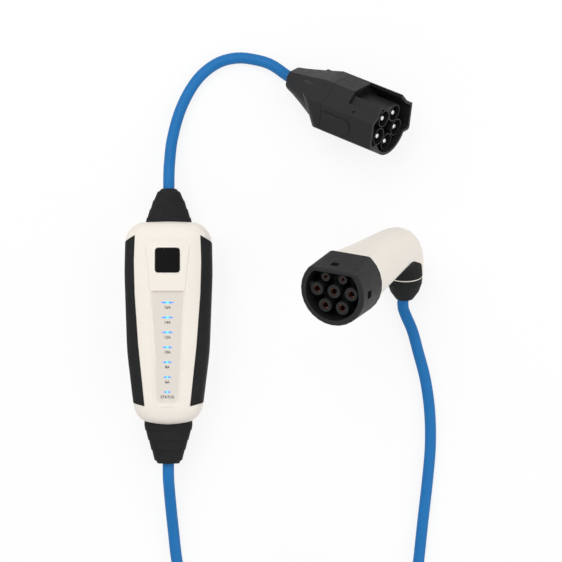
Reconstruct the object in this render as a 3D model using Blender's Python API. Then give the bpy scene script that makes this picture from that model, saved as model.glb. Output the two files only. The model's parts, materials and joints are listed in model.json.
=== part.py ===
"""Portable charger for an electric car, lying on a table.

A control box sits in the lead between a five-pin supply coupler and a seven-contact
vehicle connector. The box lies on its back with its middle at the origin, +X to its
right, +Y towards the coupler's end and +Z up from the table. Lengths are in metres.
"""

import math

import bmesh
import bpy
from mathutils import Matrix, Vector
from mathutils.geometry import interpolate_bezier

# Clearances between separate pieces.
GAP = 0.0003

# Control box: length, thickness and the corners of its right-hand outline.
BOX_THICKNESS = 0.050
BOX_TOP_Y = 0.0996
BOX_BOTTOM_Y = -0.0948
BOX_SHOULDER = (0.0404, 0.0980)
BOX_WIDEST = (0.0413, 0.0500)
BOX_WAIST = (0.0386, -0.0250)
BOX_FOOT = (0.0306, -0.0900)
SHOULDER_RADIUS = 0.0190
FOOT_RADIUS = 0.0180
SIDE_RADIUS = 0.250
END_RADIUS = 0.0600
EDGE_RADIUS = 0.0120
CROWN_HEIGHT = 0.0014
CROWN_INSET = 0.0050
BACK_EDGE_RADIUS = 0.0060
WALL = 0.0030
EDGE_STEPS = 4
PARTING_Z = BOX_THICKNESS / 2

# Gasket in the ledge of the rear shell's rim.
LEDGE_DEPTH = 0.0014
LIP_WIDTH = 0.0019

# Rubber grips let into both sides of the box.
GRIP_DEPTH = 0.0014
GRIP_PROUD = 0.0004
GRIP_LOW_Z = 0.0080
GRIP_TOP = (0.0313, 0.0856)
GRIP_SHOULDER = (0.0322, 0.0610)
GRIP_MIDDLE = (0.0313, 0.0295)
GRIP_WAIST = (0.0278, -0.0190)
GRIP_FOOT = (0.0218, -0.0763)
GRIP_OUTER_TOP = (0.0600, 0.0690)
GRIP_OUTER_FOOT = (0.0600, -0.0660)

# Front of the box: badge bridge, indicator channel, strip and windows.
BRIDGE_RISE = 0.0012
BRIDGE_FOOT_Y = 0.0331
BRIDGE_TOP_Y = 0.0820
BRIDGE_FOOT_HALF = 0.0162
BRIDGE_TOP_HALF = 0.0212
BADGE_SIZE = 0.0236
BADGE_Y = 0.0620
BADGE_CORNER = 0.0030
BADGE_POCKET = 0.0010
BADGE_THICKNESS = 0.0012
CHANNEL_FOOT_Y = -0.0755
CHANNEL_TOP_HALF = 0.0160
CHANNEL_FOOT_HALF = 0.0130
CHANNEL_DEPTH = 0.0022
CHANNEL_CORNER = 0.0050
STRIP_TOP_HALF = 0.0135
STRIP_FOOT_HALF = 0.0070
STRIP_TOP_Y = 0.0310
STRIP_FOOT_Y = -0.0715
STRIP_THICKNESS = 0.0007
WINDOW_COUNT = 7
WINDOW_FIRST_Y = 0.0218
WINDOW_LAST_Y = -0.0630
WINDOW_FIRST_WIDTH = 0.0131
WINDOW_LAST_WIDTH = 0.0069
WINDOW_HEIGHT = 0.0024
WINDOW_PROUD = 0.0003

# Cable boots at both ends of the box, and the neck that passes through the wall.
BOOT_AXIS_Z = BOX_THICKNESS / 2
UPPER_BOOT_LENGTH = 0.0318
UPPER_BOOT_BASE = (0.0220, 0.0125)
UPPER_BOOT_TIP = 0.0102
LOWER_BOOT_LENGTH = 0.0366
LOWER_BOOT_BASE = (0.0230, 0.0125)
LOWER_BOOT_TIP = 0.0116
BOOT_RIBS = 3
BOOT_RIB_STEP = 0.0006
BOOT_NECK = (0.0115, 0.0085)
BOOT_FLANGE = (0.0150, 0.0105)
BOOT_FLANGE_THICKNESS = 0.0030

# Inside the box.
BOARD_THICKNESS = 0.0016
BOARD_HALF_WIDTH = 0.0240
BOARD_TOP_Y = 0.0660
BOARD_FOOT_Y = -0.0580
BOARD_Z = 0.0095
STANDOFF_RADIUS = 0.0030
STANDOFF_X = 0.0200
STANDOFF_Y = (0.0600, -0.0520)
LED_BOARD_THICKNESS = 0.0012
LED_BOARD_DROP = 0.0015
SCREW_PLACES = ((0.0265, 0.0770), (-0.0265, 0.0770), (0.0190, -0.0765), (-0.0190, -0.0765))
BOSS_RADIUS = 0.0042
SCREW_RADIUS = 0.0016
SCREW_HEAD_RADIUS = 0.0029
SCREW_HEAD_HEIGHT = 0.0022
SCREW_SINK = 0.0012
SCREW_BITE = 0.0080
CABLE_END_LENGTH = 0.0180
CLAMP_HALF_WIDTH = 0.0110
CLAMP_HALF_LENGTH = 0.0040
LED_BOARD_HALF_WIDTH = 0.0090
SENSOR_PLACE = (0.0050, -0.0260)
SENSOR_RADIUS = 0.0140
SENSOR_BORE = 0.0070
SENSOR_HEIGHT = 0.0120
CAPACITOR_PLACE = (0.0150, 0.0050)
CAPACITOR_RADIUS = 0.0065
CAPACITOR_HEIGHT = 0.0200

# Cable.
CABLE_DIAMETER = 0.0110
CABLE_RADIUS = CABLE_DIAMETER / 2

# Supply coupler: its axis is local Z, from the cable end (0) to the open face.
COUPLER_LENGTH = 0.1320
COUPLER_REAR_RADIUS = 0.0125
COUPLER_CONE_LENGTH = 0.0500
COUPLER_RADIUS = 0.0285
COUPLER_SEAM_Z = 0.0790
COUPLER_CHANNEL_Z = 0.1050
COUPLER_TOP_V = 0.0275
COUPLER_TOP_HALF = 0.0150
COUPLER_FACET_W = 0.0255
COUPLER_FACET_V = 0.0140
WING_W = 0.0338
WING_TOP_V = 0.0143
WING_LOW_V = -0.0158
WING_START_Z = 0.0520
WING_FULL_Z = 0.0700
WING_CORNER = 0.0022
WING_PAD_RISE = 0.0006
WING_PAD_HALF = (0.0125, 0.0065)
WING_PAD_Z = 0.0925
WING_PAD_V = -0.0070
COUPLER_ARC_STEPS = 20
SHROUD_WALL = 0.0028
CHANNEL_LEFT_W = -0.0150
CHANNEL_RIGHT_W = 0.0185
KEY_HALF = 0.0112
KEY_TOP_V = 0.0222
INSERT_FLOOR_Z = 0.1010
PIN_COUNT = 5
PIN_CIRCLE = 0.0150
SLEEVE_RADIUS = 0.0085
SLEEVE_WALL = 0.0010
SLEEVE_RECESS = 0.0035
PIN_RADIUS = 0.0026
PIN_RECESS = 0.0065
PIN_ROOT = 0.0100

# Vehicle connector: its open face looks along local Z, its flat side is at +Y.
COLLAR_RADIUS = 0.0315
COLLAR_FLAT = 0.0220
COLLAR_BACK_RADIUS = 0.0322
COLLAR_BACK_FLAT = 0.0258
COLLAR_CORNER = 0.0060
COLLAR_DEPTH = 0.0380
CAVITY_RADIUS = 0.0264
CAVITY_FLAT = 0.0185
CAVITY_CORNER = 0.0050
CAVITY_DEPTH = 0.0270
LATCH_HOLE = 0.0070
LATCH_HOLE_X = -0.0030
LATCH_HOLE_Z = -0.0120
CONTACT_PITCH = 0.0170
CONTACT_LOWER_Y = -0.0145
CONTACT_UPPER_Y = 0.0126
POWER_SLEEVE_RADIUS = 0.00625
SIGNAL_SLEEVE_RADIUS = 0.00415
POWER_BORE_RADIUS = 0.0040
SIGNAL_BORE_RADIUS = 0.0028
CONTACT_WALL = 0.0010
FRONT_RECESS = 0.0040
CONTACT_RECESS = 0.0012
HANDLE_LENGTH = 0.1480
HANDLE_BEND_START = 0.60
HANDLE_TURN = math.radians(88)
HANDLE_START_RADIUS = 0.0306
HANDLE_END_RADIUS = 0.0172
HANDLE_WALL = 0.0028
HANDLE_TAPER = 1.4
HANDLE_RINGS = 12
INLAY_CORNERS = ((0.0012, -0.0165), (0.0012, 0.0200), (0.0190, 0.0130))
INLAY_RADII = (0.0010, 0.0040, 0.0055)
INLAY_INNER_X = 0.0040
INLAY_DEPTH = 0.0012
HANDLE_BOOT_LENGTH = 0.0230
HANDLE_BOOT_TIP = 0.0088

# Where the coupler and the connector lie. Each one's lowest point comes down to the table.
COUPLER_FACE_XY = (0.2142, 0.1810)
COUPLER_AXIS = (0.7970, -0.3810, 0.4690)
COUPLER_UP = (0.0960, 0.8355, 0.5410)
CONNECTOR_FACE_XY = (0.1570, 0.0240)
CONNECTOR_AXIS = (-0.4500, -0.3300, 0.8300)
CONNECTOR_UP = (0.0100, 0.9300, 0.3700)

# Coil of the length of charge lead that is put away: two layers of flat turns.
COIL_CENTRE = (0.1280, -0.3380)
COIL_MIDDLE_RADIUS = 0.0660
COIL_TURNS_ACROSS = 6
COIL_LAYERS = 2

# Routes of the leads between the pieces they join, as points chosen along them.
SUPPLY_ROUTE = (
    (0.0005, 0.1550, 0.0215), (0.0040, 0.1810, 0.0140), (0.0130, 0.2100, 0.0080),
    (0.0280, 0.2350, 0.0066), (0.0470, 0.2480, 0.0062), (0.0640, 0.2500, 0.0066),
    (0.0790, 0.2455, 0.0074),
)
BOX_SIDE_ROUTE = (
    (0.0005, -0.1530, 0.0220), (0.0020, -0.1740, 0.0140), (0.0040, -0.1960, 0.0075),
    (0.0070, -0.2230, 0.0060), (0.0130, -0.2550, 0.0058), (0.0220, -0.2860, 0.0058),
)
BOX_SIDE_END = (0.0267, -0.3120, 0.0058)
PLUG_SIDE_ROUTE = (
    (0.2420, -0.0040, 0.0066), (0.2500, -0.0250, 0.0060), (0.2560, -0.0550, 0.0058),
    (0.2570, -0.1000, 0.0057), (0.2530, -0.1450, 0.0057), (0.2480, -0.1850, 0.0057),
    (0.2430, -0.2250, 0.0058), (0.2370, -0.2600, 0.0064), (0.2320, -0.2870, 0.0095),
)
PLUG_SIDE_END = (0.2293, -0.3120, 0.0130)

# Finishes: colour, roughness and metallic value.
CREAM = ((0.955, 0.890, 0.795), 0.42, 0.0)
RUBBER = ((0.030, 0.031, 0.032), 0.78, 0.0)
BLACK = ((0.028, 0.029, 0.030), 0.50, 0.0)
GLOSS_BLACK = ((0.006, 0.006, 0.006), 0.15, 0.0)
BLUE = ((0.018, 0.178, 0.462), 0.45, 0.0)
LIGHT = ((0.10, 0.42, 0.95), 0.30, 0.0)
STRIP_GREY = ((0.770, 0.702, 0.640), 0.50, 0.0)
STEEL = ((0.62, 0.62, 0.60), 0.30, 1.0)
COPPER = ((0.47, 0.20, 0.12), 0.32, 1.0)
BOARD_GREEN = ((0.015, 0.120, 0.050), 0.55, 0.0)
RELAY_BLUE = ((0.030, 0.090, 0.250), 0.45, 0.0)
FERRITE = ((0.045, 0.040, 0.038), 0.70, 0.0)

# Blocks on the main board: name, one corner, the opposite corner with the height, finish.
BOARD_PIECES = (
    ("supply_terminals", (-0.0170, 0.0480), (0.0170, 0.0570, 0.0110), BLACK),
    ("vehicle_terminals", (-0.0170, -0.0560), (0.0170, -0.0450, 0.0110), BLACK),
    ("relay_left", (-0.0215, 0.0160), (-0.0015, 0.0440, 0.0180), RELAY_BLUE),
    ("relay_right", (0.0015, 0.0160), (0.0215, 0.0440, 0.0180), RELAY_BLUE),
    ("power_module", (-0.0220, -0.0080), (0.0020, 0.0120, 0.0150), GLOSS_BLACK),
)


def clear_scene():
    for item in list(bpy.data.objects):
        bpy.data.objects.remove(item, do_unlink=True)


def add_frame(name, matrix):
    """Empty that carries a sub-assembly."""
    frame = bpy.data.objects.new(name, None)
    frame.matrix_world = matrix
    bpy.context.scene.collection.objects.link(frame)
    return frame


def add_solid(name, mesh_code, finish=None, frame=None, sharp=35.0):
    """Turn a bmesh into a named object with a finish of its own."""
    bmesh.ops.recalc_face_normals(mesh_code, faces=mesh_code.faces)
    mesh = bpy.data.meshes.new(name)
    mesh_code.to_mesh(mesh)
    mesh_code.free()
    mesh.shade_smooth()
    mesh.set_sharp_from_angle(angle=math.radians(sharp))
    solid = bpy.data.objects.new(name, mesh)
    bpy.context.scene.collection.objects.link(solid)
    if finish:
        give_finish(solid, finish)
    if frame:
        solid.parent = frame
    return solid


def give_finish(solid, finish):
    colour, roughness, metallic = finish
    material = bpy.data.materials.new(solid.name + "_finish")
    material.use_nodes = True
    shader = material.node_tree.nodes["Principled BSDF"]
    shader.inputs["Base Color"].default_value = (*colour, 1.0)
    shader.inputs["Roughness"].default_value = roughness
    shader.inputs["Metallic"].default_value = metallic
    solid.data.materials.clear()
    solid.data.materials.append(material)


def combine(solid, operation, *tools):
    """Cut, join or intersect a solid with tool solids, which are used up."""
    for tool in tools:
        modifier = solid.modifiers.new(operation.lower(), "BOOLEAN")
        modifier.operation = operation
        modifier.object = tool
        graph = bpy.context.evaluated_depsgraph_get()
        shaped = bpy.data.meshes.new_from_object(solid.evaluated_get(graph))
        solid.modifiers.clear()
        solid.data = shaped
        bpy.data.objects.remove(tool, do_unlink=True)
    return solid


def gather(solids):
    """One tool made of several solids that don't touch each other."""
    code = bmesh.new()
    for solid in solids:
        code.from_mesh(solid.data)
        bpy.data.objects.remove(solid, do_unlink=True)
    return add_solid("tools", code)


def cut(solid, *tools):
    return combine(solid, "DIFFERENCE", *tools)


def join(solid, *tools):
    return combine(solid, "UNION", *tools)


def keep(solid, *tools):
    return combine(solid, "INTERSECT", *tools)


def loft(rings, endless=False):
    """Skin through rings of as many points each, capped at both ends or joined up."""
    code = bmesh.new()
    loops = [[code.verts.new(point) for point in ring] for ring in rings]
    following = loops[1:] + loops[:1] if endless else loops[1:]
    for near, far in zip(loops, following):
        count = len(near)
        for index in range(count):
            after = (index + 1) % count
            code.faces.new((near[index], near[after], far[after], far[index]))
    if not endless:
        code.faces.new(loops[0])
        code.faces.new(loops[-1])
    return code


def at_height(points, height):
    return [(x, y, height) for x, y in points]


def prism(points, low, high):
    return loft([at_height(points, low), at_height(points, high)])


def circle(radius, count, centre=(0.0, 0.0), aspect=1.0):
    turn = 2 * math.pi / count
    return [
        (centre[0] + radius * math.cos(i * turn), centre[1] + aspect * radius * math.sin(i * turn))
        for i in range(count)
    ]


def oval(half_width, half_height, count, power=2.6):
    """Superellipse: rounder than a rectangle, fuller than an ellipse."""
    points = []
    for index in range(count):
        angle = 2 * math.pi * index / count
        across, up = math.cos(angle), math.sin(angle)
        x = half_width * math.copysign(abs(across) ** (2 / power), across)
        y = half_height * math.copysign(abs(up) ** (2 / power), up)
        points.append((x, y))
    return points


def cylinder(radius, low, high, count=16, centre=(0.0, 0.0)):
    return prism(circle(radius, count, centre), low, high)


def tube(outer, inner, low, high, count=16, centre=(0.0, 0.0)):
    """Open ring with a rectangular section."""
    return turned([(outer, low), (outer, high), (inner, high), (inner, low)], count, centre)


def turned(profile, count, centre=(0.0, 0.0)):
    """Turn a closed profile of (radius, height) points about a vertical axis."""
    code = bmesh.new()
    points = [code.verts.new((radius, 0.0, height)) for radius, height in profile]
    on_axis = [radius == 0.0 for radius, height in profile]
    sides = [i for i in range(len(points)) if not (on_axis[i - 1] and on_axis[i])]
    edges = [code.edges.new((points[i - 1], points[i])) for i in sides]
    bmesh.ops.spin(
        code, geom=points + edges, axis=(0, 0, 1), cent=(0, 0, 0),
        angle=2 * math.pi, steps=count, use_merge=True,
    )
    bmesh.ops.remove_doubles(code, verts=code.verts, dist=1e-6)
    bmesh.ops.dissolve_degenerate(code, edges=code.edges, dist=1e-7)
    bmesh.ops.translate(code, vec=(*centre, 0.0), verts=code.verts)
    return code


def block(low, high, bevel=0.0):
    """Box between two corners, with rounded edges where a bevel is given."""
    code = bmesh.new()
    bmesh.ops.create_cube(code, size=1.0)
    size = Vector(high) - Vector(low)
    bmesh.ops.scale(code, vec=size, verts=code.verts)
    bmesh.ops.translate(code, vec=(Vector(low) + Vector(high)) / 2, verts=code.verts)
    if bevel:
        bmesh.ops.bevel(
            code, geom=code.edges[:], offset=bevel, segments=1, profile=0.5,
            affect="EDGES", material=-1,
        )
    return code


def rounded(corners, radii, steps):
    """Closed outline through corners, each rounded with its own radius and steps."""
    points = []
    count = len(corners)
    for index, corner in enumerate(corners):
        here = Vector(corner)
        back = (Vector(corners[index - 1]) - here).normalized()
        ahead = (Vector(corners[(index + 1) % count]) - here).normalized()
        half = back.angle(ahead) / 2
        middle = here + (back + ahead).normalized() * (radii[index] / math.sin(half))
        start = here + back * (radii[index] / math.tan(half))
        sweep = (start - middle).angle_signed(here + ahead * (radii[index] / math.tan(half)) - middle)
        for step in range(steps[index] + 1):
            turned_by = Matrix.Rotation(-sweep * step / steps[index], 2)
            point = middle + turned_by @ (start - middle)
            points.append((point.x, point.y))
    return points


def rounded_rectangle(half_width, half_height, radius, steps=4, centre=(0.0, 0.0)):
    corners = [
        (centre[0] + half_width, centre[1] + half_height), (centre[0] - half_width, centre[1] + half_height),
        (centre[0] - half_width, centre[1] - half_height), (centre[0] + half_width, centre[1] - half_height),
    ]
    return rounded(corners, [radius] * 4, [steps] * 4)


def grown(points, amount):
    """Anticlockwise convex outline moved outwards by an amount, point by point."""
    moved = []
    for index, point in enumerate(points):
        before = Vector(points[index - 1])
        after = Vector(points[(index + 1) % len(points)])
        here = Vector(point)
        side_in = (here - before).normalized()
        side_out = (after - here).normalized()
        normal = Vector((side_in.y + side_out.y, -side_in.x - side_out.x)).normalized()
        stretch = max(0.3, normal.dot(Vector((side_in.y, -side_in.x))))
        point = here + normal * (amount / stretch)
        moved.append((point.x, point.y))
    return moved


def box_outline():
    corners = [
        (0.0, BOX_TOP_Y), (-BOX_SHOULDER[0], BOX_SHOULDER[1]), (-BOX_WIDEST[0], BOX_WIDEST[1]),
        (-BOX_WAIST[0], BOX_WAIST[1]), (-BOX_FOOT[0], BOX_FOOT[1]), (0.0, BOX_BOTTOM_Y),
        BOX_FOOT, BOX_WAIST, BOX_WIDEST, BOX_SHOULDER,
    ]
    radii = [END_RADIUS, SHOULDER_RADIUS, SIDE_RADIUS, SIDE_RADIUS, FOOT_RADIUS]
    radii += [END_RADIUS, FOOT_RADIUS, SIDE_RADIUS, SIDE_RADIUS, SHOULDER_RADIUS]
    steps = [1, 6, 2, 2, 5, 2, 5, 2, 2, 6]
    return rounded(corners, radii, steps)


def quarter(centre_inset, centre_z, radius, start, stop):
    """Points (inset, height) of a quarter round between two angles in degrees."""
    points = []
    for step in range(EDGE_STEPS + 1):
        angle = math.radians(start + (stop - start) * step / EDGE_STEPS)
        points.append((centre_inset - radius * math.cos(angle), centre_z + radius * math.sin(angle)))
    return points


def front_edge(shrink, start, stop):
    centre_z = BOX_THICKNESS - CROWN_HEIGHT - EDGE_RADIUS
    return quarter(EDGE_RADIUS, centre_z, EDGE_RADIUS - shrink, start, stop)


def back_edge(shrink, start, stop):
    return quarter(BACK_EDGE_RADIUS, BACK_EDGE_RADIUS, BACK_EDGE_RADIUS - shrink, start, stop)


def rings_of(section):
    """Rings of the box's outline for a section of (inset, height) points."""
    outline = box_outline()
    return [at_height(grown(outline, -inset), height) for inset, height in section]


def envelope(grow):
    """Whole outer form of the box, grown or shrunk evenly."""
    section = back_edge(-grow, -90, 0) + front_edge(-grow, 0, 90)
    section.append((EDGE_RADIUS + CROWN_INSET, BOX_THICKNESS + grow))
    return loft(rings_of(section))


CEILING_Z = BOX_THICKNESS - CROWN_HEIGHT - WALL
CHANNEL_Z = BOX_THICKNESS - CHANNEL_DEPTH
STRIP_TOP_Z = CHANNEL_Z + GAP + STRIP_THICKNESS
LED_BOARD_TOP_Z = CEILING_Z - LED_BOARD_DROP
BOARD_TOP_Z = BOARD_Z + BOARD_THICKNESS
SCREW_HEAD_Z = SCREW_SINK + SCREW_HEAD_HEIGHT


def grip_zone(side, clearance):
    """Column of space that a side grip takes up, seen from the front."""
    right = [GRIP_TOP, GRIP_SHOULDER, GRIP_MIDDLE, GRIP_WAIST, GRIP_FOOT, GRIP_OUTER_FOOT, GRIP_OUTER_TOP]
    outline = [(side * x, y) for x, y in right]
    if side < 0:
        outline.reverse()
    top = BOX_THICKNESS + EDGE_RADIUS
    return add_solid("zone", prism(grown(outline, clearance), GRIP_LOW_Z - clearance, top))


def grip_recess(side):
    zone = grip_zone(side, GAP)
    return cut(zone, add_solid("core", envelope(-GRIP_DEPTH - GAP)))


def add_grip(name, side):
    grip = add_solid(name, envelope(GRIP_PROUD))
    cut(grip, add_solid("core", envelope(-GRIP_DEPTH)))
    keep(grip, grip_zone(side, 0.0))
    give_finish(grip, RUBBER)


def end_wall(end):
    """Place of an end of the box, and how far inside it a boot's flange has to sit."""
    tip, corner = (BOX_TOP_Y, BOX_SHOULDER) if end > 0 else (BOX_BOTTOM_Y, BOX_FOOT)
    fall = abs(tip - corner[1]) * BOOT_FLANGE[0] / corner[0]
    return tip, WALL + fall + GAP


def neck_slot(end):
    """Space for a boot's neck in the end wall."""
    wall_y, seat = end_wall(end)
    neck = oval(BOOT_NECK[0] + GAP, BOOT_NECK[1] + GAP, 20)
    slot = prism(neck, -2 * WALL, 2 * WALL)
    turn = Matrix.Rotation(math.radians(-90), 4, "X")
    bmesh.ops.transform(slot, matrix=Matrix.Translation((0, wall_y, BOOT_AXIS_Z)) @ turn, verts=slot.verts)
    return add_solid("slot", slot)


def channel_outline(grow):
    half = [(CHANNEL_TOP_HALF, BRIDGE_FOOT_Y), (CHANNEL_FOOT_HALF, CHANNEL_FOOT_Y)]
    corners = [(-half[0][0], half[0][1]), (-half[1][0], half[1][1]), half[1], half[0]]
    return grown(rounded(corners, [0.001, CHANNEL_CORNER, CHANNEL_CORNER, 0.001], [1, 4, 4, 1]), grow)


def strip_outline(grow):
    corners = [
        (-STRIP_TOP_HALF, STRIP_TOP_Y), (-STRIP_FOOT_HALF, STRIP_FOOT_Y),
        (STRIP_FOOT_HALF, STRIP_FOOT_Y), (STRIP_TOP_HALF, STRIP_TOP_Y),
    ]
    corner = STRIP_FOOT_HALF / 3
    return grown(rounded(corners, [0.001, corner, corner, 0.001], [1, 4, 4, 1]), grow)


def window_places():
    """Height on the box and width of each indicator window, from the top one down."""
    last = WINDOW_COUNT - 1
    for index in range(WINDOW_COUNT):
        share = index / last
        place = WINDOW_FIRST_Y + share * (WINDOW_LAST_Y - WINDOW_FIRST_Y)
        yield index + 1, place, WINDOW_FIRST_WIDTH + share * (WINDOW_LAST_WIDTH - WINDOW_FIRST_WIDTH)


def window_outline(place, width, grow=0.0):
    """Flat above, with a shallow point below."""
    half, rise = width / 2, WINDOW_HEIGHT / 2
    corners = [(half, rise), (-half, rise), (-half, rise / 3), (0.0, -rise), (half, rise / 3)]
    return [(x, place + y) for x, y in grown(corners, grow)]


def window_holes(low, high):
    return [
        add_solid("hole", prism(window_outline(place, width, GAP), low, high))
        for index, place, width in window_places()
    ]


def bridge_outline(grow):
    corners = [
        (-BRIDGE_TOP_HALF, BRIDGE_TOP_Y), (-BRIDGE_FOOT_HALF, BRIDGE_FOOT_Y),
        (BRIDGE_FOOT_HALF, BRIDGE_FOOT_Y), (BRIDGE_TOP_HALF, BRIDGE_TOP_Y),
    ]
    return grown(rounded(corners, [0.006, 0.001, 0.001, 0.006], [3, 1, 1, 3]), grow)


def add_front_shell():
    rim = PARTING_Z + GAP / 2
    section = front_edge(WALL, 90, 0) + [(WALL, rim), (0.0, rim)] + front_edge(0.0, 0, 90)
    section.append((EDGE_RADIUS + CROWN_INSET, BOX_THICKNESS))
    shell = add_solid("front_shell", loft(rings_of(section)))
    bridge = loft([
        at_height(bridge_outline(BRIDGE_RISE), BOX_THICKNESS - WALL / 2),
        at_height(bridge_outline(BRIDGE_RISE), BOX_THICKNESS - CROWN_HEIGHT / 4),
        at_height(bridge_outline(0.0), BOX_THICKNESS + BRIDGE_RISE),
    ])
    join(shell, add_solid("bridge", bridge))
    bosses = [cylinder(BOSS_RADIUS, rim, CEILING_Z + WALL / 2, 12, place) for place in SCREW_PLACES]
    for y in (STRIP_TOP_Y - WALL, STRIP_FOOT_Y + WALL):
        bosses.append(cylinder(WALL, LED_BOARD_TOP_Z + GAP, CEILING_Z + WALL / 2, 12, (0.0, y)))
    join(shell, gather([add_solid("boss", boss) for boss in bosses]))
    channel = loft([
        at_height(strip_outline(GAP), CHANNEL_Z),
        at_height(grown(strip_outline(GAP), WALL / 3), CHANNEL_Z + CHANNEL_DEPTH / 3),
        at_height(channel_outline(0.0), BOX_THICKNESS + GAP),
    ])
    cut(shell, add_solid("channel", channel))
    pocket = rounded_rectangle(BADGE_SIZE / 2 + GAP, BADGE_SIZE / 2 + GAP, BADGE_CORNER, 4, (0.0, BADGE_Y))
    pocket_floor = BOX_THICKNESS + BRIDGE_RISE - BADGE_POCKET
    cut(shell, add_solid("pocket", prism(pocket, pocket_floor, BOX_THICKNESS + WALL)))
    holes = window_holes(CEILING_Z - WALL, BOX_THICKNESS + WALL)
    for place in SCREW_PLACES:
        hole = cylinder(SCREW_RADIUS + GAP, rim - WALL, PARTING_Z + SCREW_BITE + WALL, 10, place)
        holes.append(add_solid("hole", hole))
    cut(shell, gather(holes))
    cut(shell, grip_recess(1), grip_recess(-1), neck_slot(1), neck_slot(-1))
    give_finish(shell, CREAM)


def add_rear_shell():
    rim = PARTING_Z - GAP / 2
    ledge = PARTING_Z - LEDGE_DEPTH
    section = back_edge(WALL, -90, 0) + [(WALL, ledge), (LIP_WIDTH, ledge), (LIP_WIDTH, rim), (0.0, rim)]
    section += back_edge(0.0, 0, -90)
    shell = add_solid("rear_shell", loft(rings_of(section)))
    posts = [cylinder(BOSS_RADIUS, WALL / 2, rim + WALL, 12, place) for place in SCREW_PLACES]
    for y in STANDOFF_Y:
        for x in (-STANDOFF_X, STANDOFF_X):
            posts.append(cylinder(STANDOFF_RADIUS, WALL / 2, BOARD_Z - GAP, 12, (x, y)))
    join(shell, gather([add_solid("post", post) for post in posts]))
    above = block((-BOX_WIDEST[0], BOX_BOTTOM_Y, rim), (BOX_WIDEST[0], BOX_TOP_Y, rim + WALL * 2))
    cut(shell, add_solid("above", above))
    bores = []
    for place in SCREW_PLACES:
        wide, narrow = SCREW_HEAD_RADIUS + GAP, SCREW_RADIUS + GAP
        profile = [
            (0.0, -WALL), (wide, -WALL), (wide, SCREW_HEAD_Z + GAP), (narrow, SCREW_HEAD_Z + GAP),
            (narrow, PARTING_Z + WALL), (0.0, PARTING_Z + WALL),
        ]
        bores.append(add_solid("bore", turned(profile, 12, place)))
    cut(shell, gather(bores))
    cut(shell, grip_recess(1), grip_recess(-1), neck_slot(1), neck_slot(-1))
    give_finish(shell, CREAM)


def add_gasket(name, side):
    """Half of the seal between the shells, from one boot's neck round to the other's."""
    low = PARTING_Z - LEDGE_DEPTH + GAP
    high = PARTING_Z - GAP / 2
    inner, outer = WALL, LIP_WIDTH + GAP
    section = [(inner, low), (inner, high), (outer, high), (outer, low)]
    gasket = add_solid(name, loft(rings_of(section), endless=True))
    near, far = sorted((0.0, -side * BOX_WIDEST[0] * 2))
    other_side = block((near, BOX_BOTTOM_Y - WALL, low - WALL), (far, BOX_TOP_Y + WALL, high + WALL))
    cut(gasket, neck_slot(1), neck_slot(-1), add_solid("other_side", other_side))
    give_finish(gasket, RUBBER)


def add_front_pieces():
    strip = prism(strip_outline(0.0), CHANNEL_Z + GAP, STRIP_TOP_Z)
    strip = add_solid("indicator_strip", strip)
    cut(strip, gather(window_holes(CHANNEL_Z - WALL, BOX_THICKNESS + WALL)))
    give_finish(strip, STRIP_GREY)
    for index, place, width in window_places():
        window = prism(window_outline(place, width), LED_BOARD_TOP_Z + GAP, STRIP_TOP_Z + WINDOW_PROUD)
        add_solid(f"led_window_{index}", window, LIGHT)
    badge = rounded_rectangle(BADGE_SIZE / 2, BADGE_SIZE / 2, BADGE_CORNER, 4, (0.0, BADGE_Y))
    low = BOX_THICKNESS + BRIDGE_RISE - BADGE_POCKET + GAP
    plate = loft([
        at_height(badge, low), at_height(badge, low + BADGE_THICKNESS - GAP),
        at_height(grown(badge, -GAP), low + BADGE_THICKNESS),
    ])
    add_solid("badge_plate", plate, GLOSS_BLACK)


def boot_cone(base, tip, length, seat):
    """Ribbed cone of a cable boot along +Z, begun inside the wall that is cut out of it."""
    count = 20
    rings = [at_height(oval(*base, count), -seat)]
    levels = [0.0] + [0.12 + 0.26 * rib for rib in range(BOOT_RIBS)] + [0.90]
    for start, stop in zip(levels, levels[1:]):
        for share, inset in ((start, 0.0), (stop, -BOOT_RIB_STEP)):
            half_width = base[0] + (tip - base[0]) * share - inset
            half_height = base[1] + (tip - base[1]) * share - inset
            power = 2.6 - 0.6 * share
            rings.append(at_height(oval(half_width, half_height, count, power), GAP + length * share))
    rings.append(at_height(circle(tip, count), length * 0.94))
    rings.append(at_height(circle(tip - BOOT_RIB_STEP * 2, count), length))
    return loft(rings)


def boot_neck(seat):
    """Flange inside the wall and the neck that passes through it into the cone."""
    return loft([
        at_height(oval(*BOOT_FLANGE, 20), -seat - BOOT_FLANGE_THICKNESS),
        at_height(oval(*BOOT_FLANGE, 20), -seat),
        at_height(oval(*BOOT_NECK, 20), -seat),
        at_height(oval(*BOOT_NECK, 20), WALL),
    ])


def add_boot(name, end):
    if end > 0:
        size = (UPPER_BOOT_BASE, UPPER_BOOT_TIP, UPPER_BOOT_LENGTH)
    else:
        size = (LOWER_BOOT_BASE, LOWER_BOOT_TIP, LOWER_BOOT_LENGTH)
    place, seat = end_wall(end)
    turn = Matrix.Rotation(math.radians(-90 * end), 4, "X")
    facing = Matrix.Translation((0, place, BOOT_AXIS_Z)) @ turn
    cone, neck = boot_cone(*size, seat), boot_neck(seat)
    for code in (cone, neck):
        bmesh.ops.transform(code, matrix=facing, verts=code.verts)
    boot = add_solid(name, cone)
    cut(boot, add_solid("body", envelope(GAP)))
    join(boot, add_solid("neck", neck))
    give_finish(boot, RUBBER)


def along_y(code, x, z):
    """Turn a piece modelled along +Z so that it points along +Y."""
    turn = Matrix.Rotation(math.radians(-90), 4, "X")
    bmesh.ops.transform(code, matrix=Matrix.Translation((x, 0, z)) @ turn, verts=code.verts)
    return code


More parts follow.
